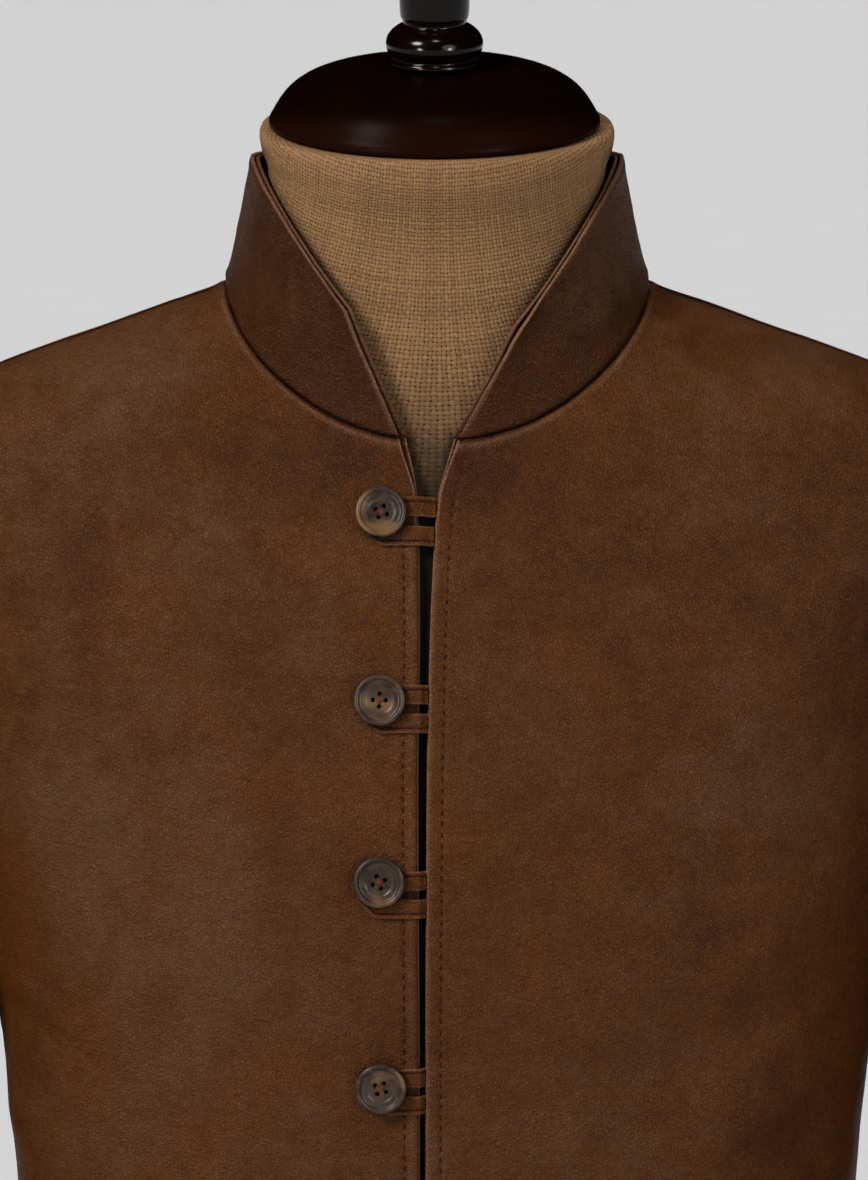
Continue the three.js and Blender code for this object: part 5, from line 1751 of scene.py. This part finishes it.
class JACKET_OT_buttons(bpy.types.Operator):
    """Makes the buttons, with their thread, and the loops round them"""

    bl_idname = "jacket.buttons"
    bl_label = "Buttons and loops"

    def execute(self, context):
        settings = context.scene.jacket
        horn, strap = horn_paint(), leather(settings, "strap leather", strap=True)
        thread = thread_paint("button thread", tuple(settings.button_thread))
        groove_thread = thread_paint("seam thread", tuple(settings.thread))
        for number, spec in enumerate(BUTTONS, 1):
            drop, x, below, turn, _ = spec
            button = finish_mesh(button_mesh(drop, x), f"button_{number}_horn", horn,
                                 [f"button_{number}"])
            cut_away(button, hole_cutter(x, drop, turn))
            finish_mesh(stem_mesh(x, drop, below, turn), f"button_{number}_thread", thread)
            route, place = loop_place(spec)
            cloth(f"loop_{number}_leather", LOOP_ACROSS, np.arange(float(len(route))), place,
                  LOOP_THICK, strap, [f"loop_{number}"])
            finish_sewing(loop_stitches(route, place), f"loop_{number}_thread", groove_thread)
        return {"FINISHED"}


class JACKET_OT_stitching(bpy.types.Operator):
    """Sews the rows of topstitching"""

    bl_idname = "jacket.stitching"
    bl_label = "Topstitching"

    def execute(self, context):
        settings = context.scene.jacket
        thread = thread_paint("seam thread", tuple(settings.thread))
        pitch, length = settings.stitch_pitch / MM, settings.stitch_length / MM
        for side, word in SIDE_WORD.items():
            bm = bmesh.new()
            drop = spaced(64 if side > 0 else 91, HEM_DROP - 4, 1.5)
            x = side * (front_edge(drop, side) + STITCH_INSET)
            points, normals = on_body(x, drop, -1, -STITCH_SUNK)
            stitch_row(bm, points, normals, pitch, length, 0.42, 0.05)
            self.hem(bm, -1, side, pitch, length)
            finish_sewing(bm, f"front_{word}_thread", thread)
            bm = bmesh.new()
            self.cuff(bm, side, pitch, length)
            finish_sewing(bm, f"cuff_{word}_thread", thread)
        bm = bmesh.new()
        for side in SIDE_WORD:
            self.hem(bm, 1, side, pitch, length)
        finish_sewing(bm, "back_thread", thread)
        return {"FINISHED"}

    def hem(self, bm, face, side, pitch, length):
        """Sews the hem of one half, from its centre edge to the side seam."""
        drop = HEM_DROP - HEM_TURNING
        inner = front_edge(np.array(drop), side) + 8 if face < 0 else 0.0
        outer = width_at(SEAM_GAP / 2, np.array(drop), face)
        share = np.sin(np.linspace(0, math.pi / 2, 160))
        x = side * lerp(float(inner), float(outer), share)[:-2]
        points, normals = on_body(x, drop, face, -STITCH_SUNK)
        stitch_row(bm, points, normals, pitch, length, 0.34, 0.05)

    def cuff(self, bm, side, pitch, length):
        """Sews the cuff, across both sleeve pieces."""
        for part, (low, high, _) in SLEEVE_PARTS.items():
            angle = np.linspace(low + 3, high - 3, 120)
            row = np.full(angle.shape, SLEEVE_ROWS - CUFF_TURNING / SLEEVE_ROW_LENGTH)
            points, _ = sleeve_place(side, part)(angle, row)
            normals = points - [side * CUFF_CENTRE[0], CUFF_CENTRE[1], 0]
            normals[:, 2] = 0
            normals /= np.linalg.norm(normals, axis=1, keepdims=True)
            stitch_row(bm, points, normals, pitch, length, 0.34, 0.1)


class JACKET_OT_form(bpy.types.Operator):
    """Makes the burlap cover of the form, its wooden cap and finial, the post and the foot"""

    bl_idname = "jacket.form"
    bl_label = "Form and stand"

    def execute(self, context):
        wood = wood_paint("polished dark wood", 0.15, 1.28)
        satin = wood_paint("satin dark wood", 0.28, 1.06, 0.7)
        finish_mesh(burlap_cover(), "form_cover", burlap_paint(), ["form_torso"])
        neck = on_neck_axis()
        cap = turned_piece(CAP_PROFILE, 96, neck, CAP_DEPTH)
        finish_mesh(cap, "neck_cap_wood", satin, ["neck_cap"])
        finial = turned_piece(FINIAL_PROFILE, 64, neck)
        finish_mesh(finial, "finial_wood", wood, ["finial"])
        upright = Matrix.Identity(4)
        foot = [(r * FOOT_RADIUS, h * FOOT_THICK) for r, h in FOOT_PROFILE]
        finish_mesh(turned_piece(foot, 128, upright), "foot_wood", wood, ["foot"])
        low, high = FOOT_THICK + SEAM_GAP, NECK_Z - FORM_END_DROP - SEAM_GAP
        post = [(r * POST_RADIUS, low + h) for r, h in POST_FOOT]
        post += [(r * POST_RADIUS, high - h) for r, h in POST_HEAD]
        finish_mesh(turned_piece(post, 64, upright), "post_wood", wood, ["post"])
        return {"FINISHED"}


def hang(light, azimuth, height, distance, target):
    """Hangs a light at an azimuth from the front and a height in degrees, facing the target."""
    lamp = new_object(light.name, light)
    a, h = math.radians(azimuth), math.radians(height)
    towards = Vector((math.sin(a) * math.cos(h), -math.cos(a) * math.cos(h), math.sin(h)))
    lamp.rotation_euler = towards.to_track_quat("Z", "Y").to_euler()
    lamp.location = Vector(target) + towards * distance
    return lamp


class JACKET_OT_stage(bpy.types.Operator):
    """Lays the floor, hangs the lights and sets up the camera"""

    bl_idname = "jacket.stage"
    bl_label = "Stage"

    def execute(self, context):
        self.floor()
        self.world(context.scene)
        self.lights()
        self.camera(context.scene)
        return {"FINISHED"}

    def floor(self):
        bm = bmesh.new()
        bmesh.ops.create_grid(bm, x_segments=4, y_segments=4, size=FLOOR_HALF)
        floor = mesh_object(bm, "floor")
        floor.data.materials.append(floor_paint())

    def world(self, scene):
        """Faint even light from all round, which isn't mirrored in the wood."""
        world = bpy.data.worlds.new("studio")
        world.use_nodes = True
        sky = world.node_tree.nodes["Background"]
        sky.inputs["Color"].default_value = (1, 1, 1, 1)
        sky.inputs["Strength"].default_value = WORLD_STRENGTH
        world.cycles_visibility.glossy = False
        scene.world = world
        scene.view_settings.view_transform = "Standard"

    def lights(self):
        for name, azimuth, height, soft, strength in SUNS:
            light = bpy.data.lights.new(name, "SUN")
            light.energy = strength
            light.angle = math.radians(soft)
            lamp = hang(light, azimuth, height, SUN_DISTANCE, (0, 0, 0))
            lamp.visible_glossy = name in SUNS_IN_GLOSS
        for name, azimuth, height, power in SOFTBOXES:
            light = bpy.data.lights.new(name, "AREA")
            light.shape = "RECTANGLE"
            light.size, light.size_y = SOFTBOX_SIZE
            light.energy = power
            lamp = hang(light, azimuth, height, SOFTBOX_DISTANCE, SOFTBOX_TARGET)
            lamp.visible_diffuse = False
            lamp.visible_camera = False

    def camera(self, scene):
        camera = bpy.data.cameras.new("camera")
        camera.lens = CAMERA_LENS
        camera.sensor_width = 36
        camera.clip_end = 200
        view = new_object("camera", camera)
        view.location = CAMERA_PLACE
        view.rotation_euler = (math.radians(CAMERA_TURN), 0, 0)
        scene.camera = view


STEPS = (JACKET_OT_fronts, JACKET_OT_back, JACKET_OT_sleeves, JACKET_OT_collar,
         JACKET_OT_buttons, JACKET_OT_stitching, JACKET_OT_form, JACKET_OT_stage)


class JACKET_PT_panel(bpy.types.Panel):
    """The jacket's settings and the steps that build it"""

    bl_idname = "JACKET_PT_panel"
    bl_label = "Leather jacket"
    bl_space_type = "VIEW_3D"
    bl_region_type = "UI"
    bl_category = "Jacket"

    def draw(self, context):
        settings = context.scene.jacket
        column = self.layout.column(align=True)
        for name in JacketSettings.__annotations__:
            column.prop(settings, name)
        column = self.layout.column(align=True)
        for step in STEPS:
            column.operator(step.bl_idname, text=step.bl_label)


CLASSES = (JacketSettings, *STEPS, JACKET_PT_panel)


def register():
    for cls in CLASSES:
        bpy.utils.register_class(cls)
    bpy.types.Scene.jacket = bpy.props.PointerProperty(type=JacketSettings)


def unregister():
    del bpy.types.Scene.jacket
    for cls in reversed(CLASSES):
        bpy.utils.unregister_class(cls)


def main():
    """Builds the pieces in order."""
    register()
    bpy.ops.jacket.fronts()
    bpy.ops.jacket.back()
    bpy.ops.jacket.sleeves()
    bpy.ops.jacket.collar()
    bpy.ops.jacket.buttons()
    bpy.ops.jacket.stitching()
    bpy.ops.jacket.form()
    bpy.ops.jacket.stage()
    bpy.context.view_layer.update()


if __name__ == "__main__":
    main()
